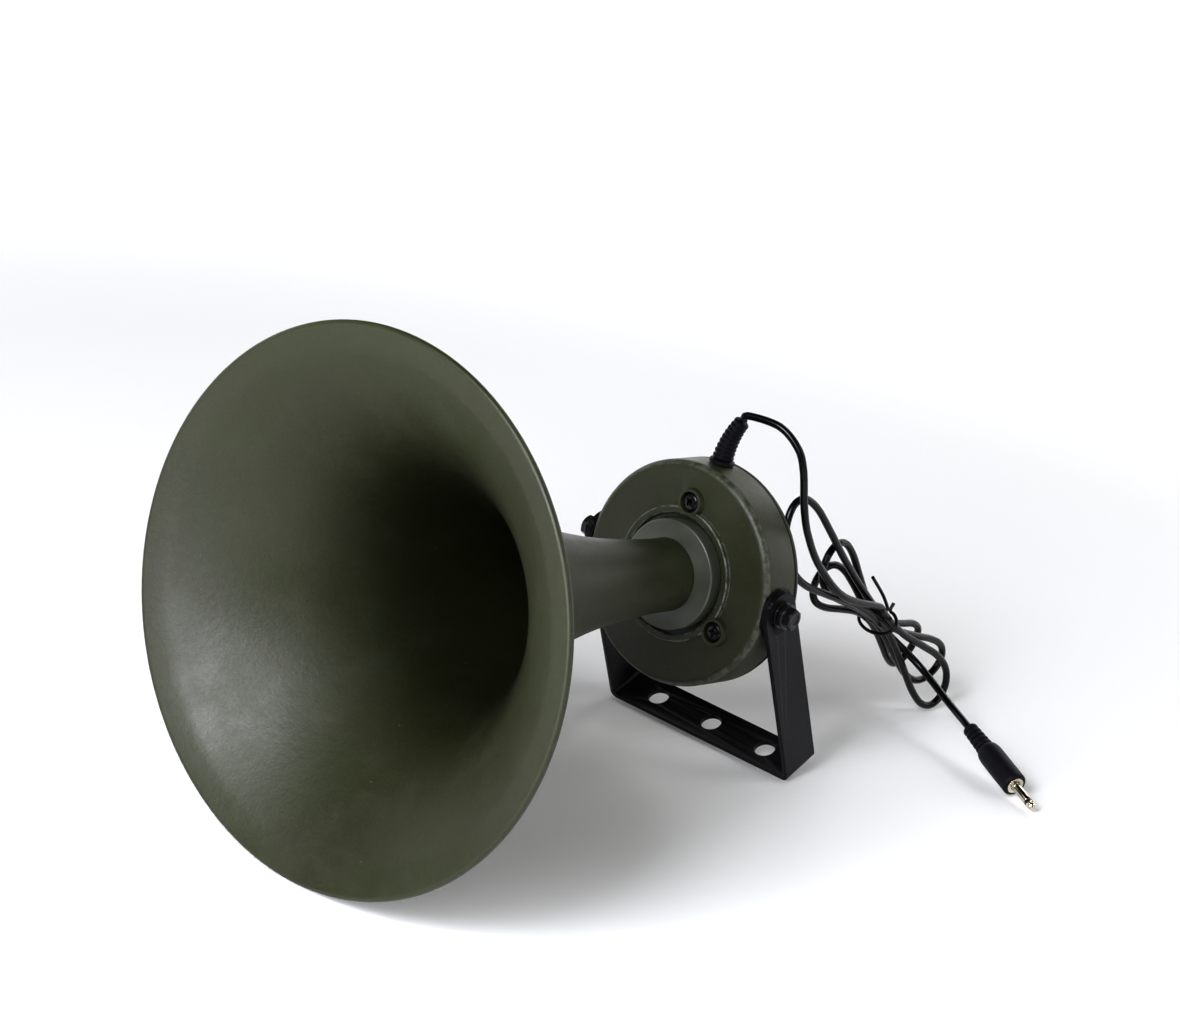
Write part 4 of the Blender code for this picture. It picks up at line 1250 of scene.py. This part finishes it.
@dataclass
class DriverCase:
    """The drum: cup with the raised ring and the counterbored screw bosses, collar, screws and cover."""

    radius: float = 43.7 * MM
    front: float = 8.6 * MM
    rear: float = -9.0 * MM
    wall: float = 2.7 * MM
    face: float = 2.5 * MM
    edge: float = 3.0 * MM
    collar_radius: float = 21.4 * MM
    ring: tuple[float, float, float] = (23.4 * MM, 26.1 * MM, 2.0 * MM)
    screw_circle: float = 28.9 * MM
    screw_angles: tuple[float, float, float] = (90.0, -30.0, 210.0)
    boss: tuple[float, float] = (5.3 * MM, 2.3 * MM)
    plateau: tuple[float, float] = (25.0 * MM, 1.4 * MM)
    rub_and_highlight_slope: tuple[float, float] = (0.30, 0.94)
    ring_rub_and_highlight: float = 1.0
    edge_rub_and_highlight: float = 0.35

    def on_circle(self, angle: float, z: float) -> Vector:
        """A point on the screw circle."""
        turn = math.radians(angle)
        return Vector((self.screw_circle * math.cos(turn), self.screw_circle * math.sin(turn), z))

    def cup(self) -> bpy.types.Object:
        """The cup with its ring, bosses, holes and flats.

        Returns:
            The cup.
        """
        inner, outer, height = self.ring
        top = self.front + height
        profile = rounded([
            (outer, top, 0.9 * MM), (outer + 0.3 * MM, self.front), (self.radius, self.front, self.edge),
            (self.radius, self.rear, 0.35 * MM), (self.radius - self.wall, self.rear),
            (self.radius - self.wall, self.front - self.face, 1.5 * MM),
            (self.collar_radius + GAP, self.front - self.face), (self.collar_radius + GAP, self.front),
            (inner, self.front), (inner, top, 0.9 * MM),
        ], 8)
        bosses, counterbores, bores, lugs = [], [], [], []
        for angle in self.screw_angles:
            bosses.append((self.boss[0] + 0.3 * MM, self.on_circle(angle, self.front - 0.8 * MM),
                           self.on_circle(angle, self.front + self.boss[1]), self.boss[0] - 0.05 * MM))
            counterbores.append((4.0 * MM, self.on_circle(angle, self.front - 0.6 * MM),
                                 self.on_circle(angle, self.front + 6.0 * MM), 4.25 * MM))
            bores.append((1.8 * MM, self.on_circle(angle, self.front - 6.0 * MM),
                          self.on_circle(angle, self.front)))
        for side in (-1.0, 1.0):
            lugs.append((5.2 * MM, (side * 34.4 * MM, 0.0, 0.0), (side * (self.radius - 1.4 * MM), 0.0, 0.0)))
            bores.append((3.5 * MM, (side * 30.0 * MM, 0.0, 0.0), (side * 50.0 * MM, 0.0, 0.0)))
        bores.append((3.3 * MM, (0.0, 36.0 * MM, -3.5 * MM), (0.0, 50.0 * MM, -3.5 * MM)))
        flats = [(9.6 * MM, (side * 42.6 * MM, 0.0, 0.0), (side * 50.0 * MM, 0.0, 0.0))
                 for side in (-1.0, 1.0)]
        centre = [(inner - 0.1 * MM, (0.0, 0.0, self.front + 0.01 * MM), (0.0, 0.0, self.front + 8.0 * MM))]
        mesh = carved(turned("driver_case", profile, 240), [
            ("UNION", cylinders("bosses", bosses, 96)), ("UNION", cylinders("lugs", lugs, 48)),
            ("DIFFERENCE", cylinders("centre", centre, 240)),
            ("DIFFERENCE", cylinders("counterbores", counterbores, 96)),
            ("DIFFERENCE", cylinders("bores", bores, 64)), ("DIFFERENCE", cylinders("flats", flats, 128)),
        ], bevel=0.28 * MM)
        self.rub(mesh)
        return place(mesh, Finish.OLIVE, nodes=["driver_case"], name="look_driver_case")

    def rub(self, mesh: bpy.types.Mesh) -> None:
        """Mark the rounded edges of the raised ring and of the drum's front, for light paint that is partly
        rubbed wear and partly a painted highlight.

        Args:
            mesh: the cup, about the Z axis.
        """
        rub_and_highlight_mask = mesh.attributes.new("rub", "FLOAT", "POINT")
        inner, outer, _ = self.ring
        steepest, flattest = self.rub_and_highlight_slope
        for vertex in mesh.vertices:
            radius = math.hypot(vertex.co.x, vertex.co.y)
            share = 0.0
            if steepest < vertex.normal.z < flattest and vertex.co.z > 0.0:
                if inner - MM < radius < outer + MM:
                    share = self.ring_rub_and_highlight
                elif radius > self.radius - self.edge:
                    share = self.edge_rub_and_highlight
            rub_and_highlight_mask.data[vertex.index].value = share

    def collar(self) -> bpy.types.Object:
        """The smooth collar round the neck.

        Returns:
            The collar.
        """
        back = self.front - self.face - GAP
        neck = 14.0 * MM + 0.12 * MM
        profile = rounded([
            (neck, 15.1 * MM, 0.12 * MM), (self.collar_radius, 13.85 * MM, 0.8 * MM),
            (self.collar_radius, back), (24.6 * MM, back),
            (24.6 * MM, back - 1.2 * MM), (11.2 * MM, back - 1.2 * MM),
            (11.2 * MM, self.front - 1.0 * MM), (neck, self.front - 1.0 * MM),
        ], 6)
        return place(turned("throat_collar", profile, 216), Finish.COLLAR, nodes=["throat_collar"])

    def screws(self) -> list[bpy.types.Object]:
        """The three cross-recess screws.

        Returns:
            The pieces.
        """
        seat = self.front - 0.3 * MM
        made = []
        for number, angle in enumerate(self.screw_angles, 1):
            profile = rounded([
                (0.0, seat + 2.3 * MM), (1.6 * MM, seat + 2.25 * MM), (3.5 * MM, seat + 2.0 * MM, 1.3 * MM),
                (3.5 * MM, seat, 0.15 * MM), (1.5 * MM, seat), (1.5 * MM, seat - 7.6 * MM),
                (0.0, seat - 7.6 * MM),
            ], 8)
            head = turned(f"case_screw_{number}", profile, 96, closed=False)
            turn = Matrix.Rotation(math.radians(20.0 + 35.0 * number), 4, "Z")
            at = Matrix.Translation((0.0, 0.0, seat + 2.2 * MM))
            cross = []
            for quarter in (0.0, 0.5 * math.pi):
                spin = turn @ Matrix.Rotation(quarter, 4, "Z")
                for lean in (-1.0, 1.0):
                    tip = Matrix.Rotation(lean * math.radians(24.0), 4, "Y")
                    cross.append((at @ spin @ tip, (3.9 * MM, 0.85 * MM, 2.0 * MM)))
            pit = [(1.3 * MM, (0.0, 0.0, seat + 0.9 * MM), (0.0, 0.0, seat + 3.0 * MM))]
            steps = [("DIFFERENCE", boxes("blade", [piece])) for piece in cross]
            mesh = carved(head, steps + [("DIFFERENCE", cylinders("pit", pit, 32))])
            matrix = SPEAKER_FRAME @ Matrix.Translation(self.on_circle(angle, 0.0))
            node = f"case_screw_{number}"
            made.append(place(mesh, Finish.BLACK_STEEL, matrix, nodes=[node], name="look_" + node))
        return made

    def cover(self) -> list[bpy.types.Object]:
        """The rear cover with its stepped plateau, the gasket and the blank label.

        Returns:
            The pieces.
        """
        outer = self.rear - 1.2 * MM
        back = outer - 1.7 * MM
        radius, height = self.plateau
        lift = back - height
        profile = rounded([
            (0.0, outer - 0.9 * MM), (radius - 3.5 * MM, outer - 0.9 * MM), (radius - 2.0 * MM, outer),
            (38.4 * MM, outer), (38.4 * MM, outer + 2.4 * MM), (40.7 * MM, outer + 2.4 * MM),
            (40.7 * MM, outer), (self.radius, outer, 0.3 * MM), (self.radius, back, 1.3 * MM),
            (radius + 0.7 * MM, back, 0.35 * MM), (radius - 0.4 * MM, back - 0.9 * MM, 0.35 * MM),
            (radius - 2.5 * MM, back - 0.9 * MM, 0.25 * MM), (radius - 3.2 * MM, lift, 0.25 * MM),
            (0.0, lift),
        ], 6)
        made = [place(turned("rear_cover", profile, 240, closed=False), Finish.OLIVE, nodes=["rear_cover"])]
        top = self.rear - 0.12 * MM
        gasket = rounded([(43.35 * MM, top, 0.12 * MM), (43.35 * MM, outer + 0.12 * MM, 0.12 * MM),
                          (41.0 * MM, outer + 0.12 * MM), (41.0 * MM, top)], 4)
        made.append(place(turned("rear_gasket", gasket, 240), Finish.RUBBER, nodes=["rear_gasket"]))
        made.append(self.label(lift))
        return made

    def label(self, face: float) -> bpy.types.Object:
        """The blank label: a thin sticker with round corners, turned a little on the cover.

        Args:
            face: the cover's back face along the axis.

        Returns:
            The label.
        """
        width, height, corner, thick = 33.0 * MM, 24.0 * MM, 2.6 * MM, 0.14 * MM
        bm = bmesh.new()
        outline = []
        for sx, sy, start in ((1, 1, 0.0), (-1, 1, 90.0), (-1, -1, 180.0), (1, -1, 270.0)):
            for k in range(9):
                turn = math.radians(start + 90.0 * k / 8)
                outline.append((sx * (0.5 * width - corner) + corner * math.cos(turn),
                                sy * (0.5 * height - corner) + corner * math.sin(turn)))
        upper = [bm.verts.new((x, y, face + 0.02 * MM)) for x, y in outline]
        lower = [bm.verts.new((x, y, face - thick)) for x, y in outline]
        bm.faces.new(upper)
        bm.faces.new(lower[::-1])
        for i in range(len(outline)):
            after = (i + 1) % len(outline)
            bm.faces.new((upper[i], lower[i], lower[after], upper[after]))
        mesh = finished_mesh(bm, "blank_label")
        return place(mesh, Finish.LABEL, SPEAKER_FRAME @ Matrix.Rotation(math.radians(4.0), 4, "Z"))

    def build(self) -> list[bpy.types.Object]:
        """Build the drum's pieces."""
        return [self.cup(), self.collar(), *self.screws(), *self.cover()]


@dataclass
class Pivot:
    """One side's swivel: insert, rubber disc, washers and flanged hexagon bolt."""

    word: str
    side: float
    leg_outer: float = 46.0 * MM

    def placement(self) -> Matrix:
        """Placement with +Z out of the drum's side."""
        return SPEAKER_FRAME @ Matrix.Rotation(self.side * 0.5 * math.pi, 4, "Y")

    def build(self) -> list[bpy.types.Object]:
        """Build the bolt and its washers.

        Returns:
            The pieces.
        """
        at = self.placement()
        made = [dress(f"pivot_insert_{self.word}", Finish.BRASS)]
        rubber = rounded([(8.4 * MM, 43.85 * MM, 0.2 * MM), (8.4 * MM, 42.9 * MM), (2.6 * MM, 42.9 * MM),
                          (2.6 * MM, 43.85 * MM)], 5)
        made.append(place(turned(f"rubber_washer_{self.word}", rubber, 128), Finish.RUBBER, at,
                          nodes=[f"rubber_washer_{self.word}"]))
        flat_base = self.leg_outer + 0.05 * MM
        flat_top = self.leg_outer + GAP + 0.8 * MM
        flat = rounded([(5.2 * MM, flat_top, 0.15 * MM), (5.2 * MM, flat_base, 0.1 * MM),
                        (2.6 * MM, flat_base), (2.6 * MM, flat_top, 0.1 * MM)], 4)
        made.append(place(turned(f"flat_washer_{self.word}", flat, 96), Finish.BLACK_STEEL, at,
                          nodes=[f"flat_washer_{self.word}"]))
        base = flat_top + 0.05 * MM
        top = base + 1.5 * MM
        ring = rounded([(4.1 * MM, top, 0.12 * MM), (4.1 * MM, base, 0.12 * MM), (2.6 * MM, base, 0.12 * MM),
                        (2.6 * MM, top, 0.12 * MM)], 3)
        lean = Matrix.Rotation(math.radians(30.0), 4, "Y")
        split = Matrix.Translation((0.0, 3.4 * MM, base + 0.7 * MM)) @ lean
        ring_mesh = carved(turned(f"spring_washer_{self.word}", ring, 96),
                           [("DIFFERENCE", boxes("split", [(split, (0.6 * MM, 6.0 * MM, 8.0 * MM))]))])
        made.append(place(ring_mesh, Finish.BLACK_STEEL, at, nodes=[f"spring_washer_{self.word}"],
                          name=f"look_spring_washer_{self.word}"))
        made.append(self.bolt(at))
        return made

    def bolt(self, at: Matrix) -> bpy.types.Object:
        """The flanged hexagon bolt with its dished head.

        Args:
            at: placement in the row frame.

        Returns:
            The bolt.
        """
        base = self.leg_outer + GAP + 0.8 * MM + GAP + 1.1 * MM + GAP
        body = turned(f"pivot_bolt_{self.word}", rounded([
            (0.0, base + 1.2 * MM), (4.0 * MM, base + 1.1 * MM), (5.0 * MM, base + 0.7 * MM, 0.3 * MM),
            (5.0 * MM, base, 0.2 * MM), (2.3 * MM, base), (2.3 * MM, 35.5 * MM, 0.4 * MM), (0.0, 35.5 * MM),
        ], 5), 96, closed=False)
        flats = [(4.3 * MM, (0.0, 0.0, base + 0.4 * MM), (0.0, 0.0, base + 3.8 * MM))]
        hexagon = cylinders("hexagon", flats, 6)
        dome = turned("dome", [
            (0.0, base + 3.8 * MM), (3.4 * MM, base + 3.8 * MM), (4.35 * MM, base + 3.15 * MM),
            (5.6 * MM, base + 1.2 * MM), (5.6 * MM, base - 2.0 * MM), (0.0, base - 2.0 * MM),
        ], 96, closed=False)
        head = carved(hexagon, [("INTERSECT", dome)])
        dish = turned("dish", [
            (0.0, base + 3.25 * MM), (2.2 * MM, base + 3.25 * MM), (2.9 * MM, base + 3.9 * MM),
            (2.9 * MM, base + 5.0 * MM), (0.0, base + 5.0 * MM),
        ], 64, closed=False)
        mesh = carved(body, [("UNION", head), ("DIFFERENCE", dish)], bevel=0.14 * MM)
        return place(mesh, Finish.BLACK_STEEL, at, nodes=[f"pivot_bolt_{self.word}"],
                     name=f"look_pivot_bolt_{self.word}")


@dataclass
class Bracket:
    """The U bracket: one strap bent twice, with round leg ends and three holes in its base."""

    outer: float = 46.0 * MM
    thick: float = 2.0 * MM
    bend: float = 3.0 * MM
    hole: float = 4.2 * MM
    pitch: float = 27.6 * MM
    pivot_hole: float = 2.7 * MM

    def strap(self) -> bpy.types.Mesh:
        """The bent strap, as a closed mesh.

        Returns:
            The mesh.
        """
        half, drop = 0.5 * STANCE.strap_width, STANCE.drop
        outside = [(self.outer, 0.0)]
        inside = [(self.outer - self.thick, 0.0)]
        for k in range(17):
            turn = math.radians(90.0 * k / 16)
            centre = (self.outer - self.bend, -drop + self.bend)
            outside.append((centre[0] + self.bend * math.cos(turn), centre[1] - self.bend * math.sin(turn)))
            short = self.bend - self.thick
            inside.append((centre[0] + short * math.cos(turn), centre[1] - short * math.sin(turn)))
        outline = outside + [(-x, y) for x, y in outside[::-1]]
        inline = inside + [(-x, y) for x, y in inside[::-1]]
        bm = bmesh.new()
        rows = [[bm.verts.new((x, y, z)) for x, y in line]
                for line in (outline, inline) for z in (-half, half)]
        for i in range(len(outline) - 1):
            for a, b in ((rows[0], rows[1]), (rows[1], rows[3]), (rows[3], rows[2]), (rows[2], rows[0])):
                bm.faces.new((a[i], a[i + 1], b[i + 1], b[i]))
        for i in (0, len(outline) - 1):
            bm.faces.new((rows[0][i], rows[1][i], rows[3][i], rows[2][i]))
        return finished_mesh(bm, "bracket")

    def build(self) -> bpy.types.Object:
        """Bend, round and drill the strap.

        Returns:
            The bracket.
        """
        half = 0.5 * STANCE.strap_width
        ends = [(half, (side * self.outer, 0.0, 0.0), (side * (self.outer - self.thick), 0.0, 0.0))
                for side in (-1.0, 1.0)]
        drills = [(self.pivot_hole, (-60.0 * MM, 0.0, 0.0), (60.0 * MM, 0.0, 0.0))]
        for k in (-1, 0, 1):
            drills.append((self.hole, (k * self.pitch, -90.0 * MM, 0.0), (k * self.pitch, -70.0 * MM, 0.0)))
        mesh = carved(self.strap(), [("UNION", cylinders("ends", ends, 128)),
                                     ("DIFFERENCE", cylinders("drills", drills, 96))], bevel=0.3 * MM)
        return place(mesh, Finish.BLACK_PAINT, BRACKET_FRAME, Body.BRACKET, ["bracket"], "look_bracket")


@dataclass
class Motor:
    """The pieces inside the drum, which stay as CAD made them."""

    dressing: dict[str, Finish] = field(default_factory=lambda: {
        "phase_plate": Finish.PHENOLIC, "clamp_ring": Finish.PHENOLIC, "terminal_strip": Finish.PHENOLIC,
        "diaphragm_dome": Finish.FOIL, "surround": Finish.RUBBER, "coil_former": Finish.FILM,
        "coil_winding": Finish.COPPER, "top_plate": Finish.ZINC, "yoke": Finish.ZINC,
        "ring_magnet": Finish.FERRITE, "terminal_lug_1": Finish.BRASS, "terminal_lug_2": Finish.BRASS,
        "lead_wire_1": Finish.PVC, "lead_wire_2": Finish.PVC,
    })

    def build(self) -> list[bpy.types.Object]:
        """Dress the nodes."""
        return [dress(node, finish) for node, finish in self.dressing.items()]


# ---- studio ----------------------------------------------------------------------------------------------


@dataclass(frozen=True)
class Softbox:
    """One soft area light on a circle round the speaker."""

    name: str
    bearing: float
    climb: float
    watts: float
    size: tuple[float, float] = (0.6, 0.6)
    reach: float = 1.5
    aim: tuple[float, float, float] = (0.0, 0.0, 0.1)
    colour: tuple[float, float, float] = (1.0, 1.0, 1.0)

    def build(self, front: float) -> bpy.types.Object:
        """Make the light.

        Args:
            front: bearing of the camera in radians; the light's own is counted from it, anticlockwise.

        Returns:
            The light.
        """
        light = bpy.data.lights.new(self.name, "AREA")
        light.shape = "RECTANGLE"
        light.size, light.size_y = self.size
        light.energy = self.watts
        light.color = self.colour
        made = bpy.data.objects.new(self.name, light)
        turn, climb = front + math.radians(self.bearing), math.radians(self.climb)
        away = Vector((math.cos(turn) * math.cos(climb), math.sin(turn) * math.cos(climb), math.sin(climb)))
        made.location = Vector(self.aim) + away * self.reach
        made.rotation_euler = (-away).to_track_quat("-Z", "Y").to_euler()
        bpy.context.scene.collection.objects.link(made)
        return made


@dataclass
class Studio:
    """Camera, pale floor, soft lights and surround."""

    eye: tuple[float, float, float] = (0.7667, -0.9673, 0.5745)
    right: tuple[float, float, float] = (0.74225, 0.65207, 0.15452)
    up: tuple[float, float, float] = (-0.33993, 0.16764, 0.92540)
    lens: float = 110.61
    surround: float = 0.002
    contrast: float = 0.85
    floor_half: float = 8.0
    floor_drop: float = 0.2 * MM
    floor_tone: tuple[float, float, float] = (0.93, 0.93, 0.93)
    floor_glow: tuple[float, float] = (0.5, 1.3)
    boxes: tuple[Softbox, ...] = (
        Softbox("key", -30.0, 35.0, 29.0, colour=(0.93, 0.94, 1.0)),
        Softbox("key_low", -30.0, 12.0, 13.0, colour=(0.93, 0.94, 1.0)),
        Softbox("front_left", -60.0, 35.0, 1.5),
        Softbox("front", 0.0, 35.0, 2.6, colour=(1.0, 1.0, 0.96)),
        Softbox("right", 90.0, 35.0, 4.0),
        Softbox("right_low", 60.0, 12.0, 3.2),
        Softbox("back_right_low", 120.0, 12.0, 3.1),
        Softbox("back_right", 150.0, 35.0, 4.1),
        Softbox("back_right_far", 150.0, 12.0, 2.2),
        Softbox("back", 180.0, 12.0, 3.2),
        Softbox("back_left_far", -150.0, 12.0, 1.5),
        Softbox("back_left", -120.0, 12.0, 3.1),
    )

    def camera(self) -> bpy.types.Object:
        """The camera, where the photograph was taken from.

        Returns:
            The camera.
        """
        right = Vector(self.right).normalized()
        up = Vector(self.up)
        up = (up - right * up.dot(right)).normalized()
        back = right.cross(up)
        data = bpy.data.cameras.new("camera")
        data.sensor_fit = "HORIZONTAL"
        data.sensor_width = 36.0
        data.lens = self.lens
        data.clip_start, data.clip_end = 0.05, 50.0
        made = bpy.data.objects.new("camera", data)
        turn = Matrix((right, up, back)).transposed().to_4x4()
        made.matrix_world = Matrix.Translation(self.eye) @ turn
        bpy.context.scene.collection.objects.link(made)
        bpy.context.scene.camera = made
        return made

    def floor(self) -> bpy.types.Object:
        """The plain pale floor, which glows a little where it is far from the lights.

        Returns:
            The floor.
        """
        mesh = bpy.data.meshes.new("floor")
        half = self.floor_half
        corners = [(-half, -half, 0.0), (half, -half, 0.0), (half, half, 0.0), (-half, half, 0.0)]
        mesh.from_pydata(corners, [], [(0, 1, 2, 3)])
        shader = Shader("floor_paper")
        shader.set(Base_Color=self.floor_tone, Roughness=0.9, Specular_IOR_Level=0.1)
        far = shader.distance().between(*self.floor_glow)
        glow = shader.mix(far, (0.0, 0.0, 0.0), (1.0, 1.0, 1.0))
        shader.set(Emission_Color=glow, Emission_Strength=1.0)
        mesh.materials.append(shader.material)
        made = bpy.data.objects.new("floor", mesh)
        made.location.z = -self.floor_drop
        bpy.context.scene.collection.objects.link(made)
        return made

    def light(self) -> None:
        """The soft surround and the softboxes."""
        scene = bpy.context.scene
        world = bpy.data.worlds.new("surround")
        world.use_nodes = True
        background = world.node_tree.nodes["Background"]
        background.inputs["Color"].default_value = (0.95, 0.97, 1.0, 1.0)
        background.inputs["Strength"].default_value = self.surround
        scene.world = world
        scene.view_settings.view_transform = "Standard"
        scene.view_settings.gamma = self.contrast
        front = math.atan2(self.eye[1], self.eye[0])
        for box in self.boxes:
            box.build(front)


def main() -> None:
    """Build the studio and the speaker."""
    logging.basicConfig(level=logging.INFO, format="%(name)s: %(message)s")
    studio = Studio()
    studio.camera()
    boot = StrainRelief()
    Cord(boot, Plug()).build()
    boot.build()
    Horn().build()
    DriverCase().build()
    Motor().build()
    for word, side in (("right", 1.0), ("left", -1.0)):
        Pivot(word, side).build()
    Bracket().build()
    studio.floor()
    studio.light()


if __name__ == "__main__":
    main()
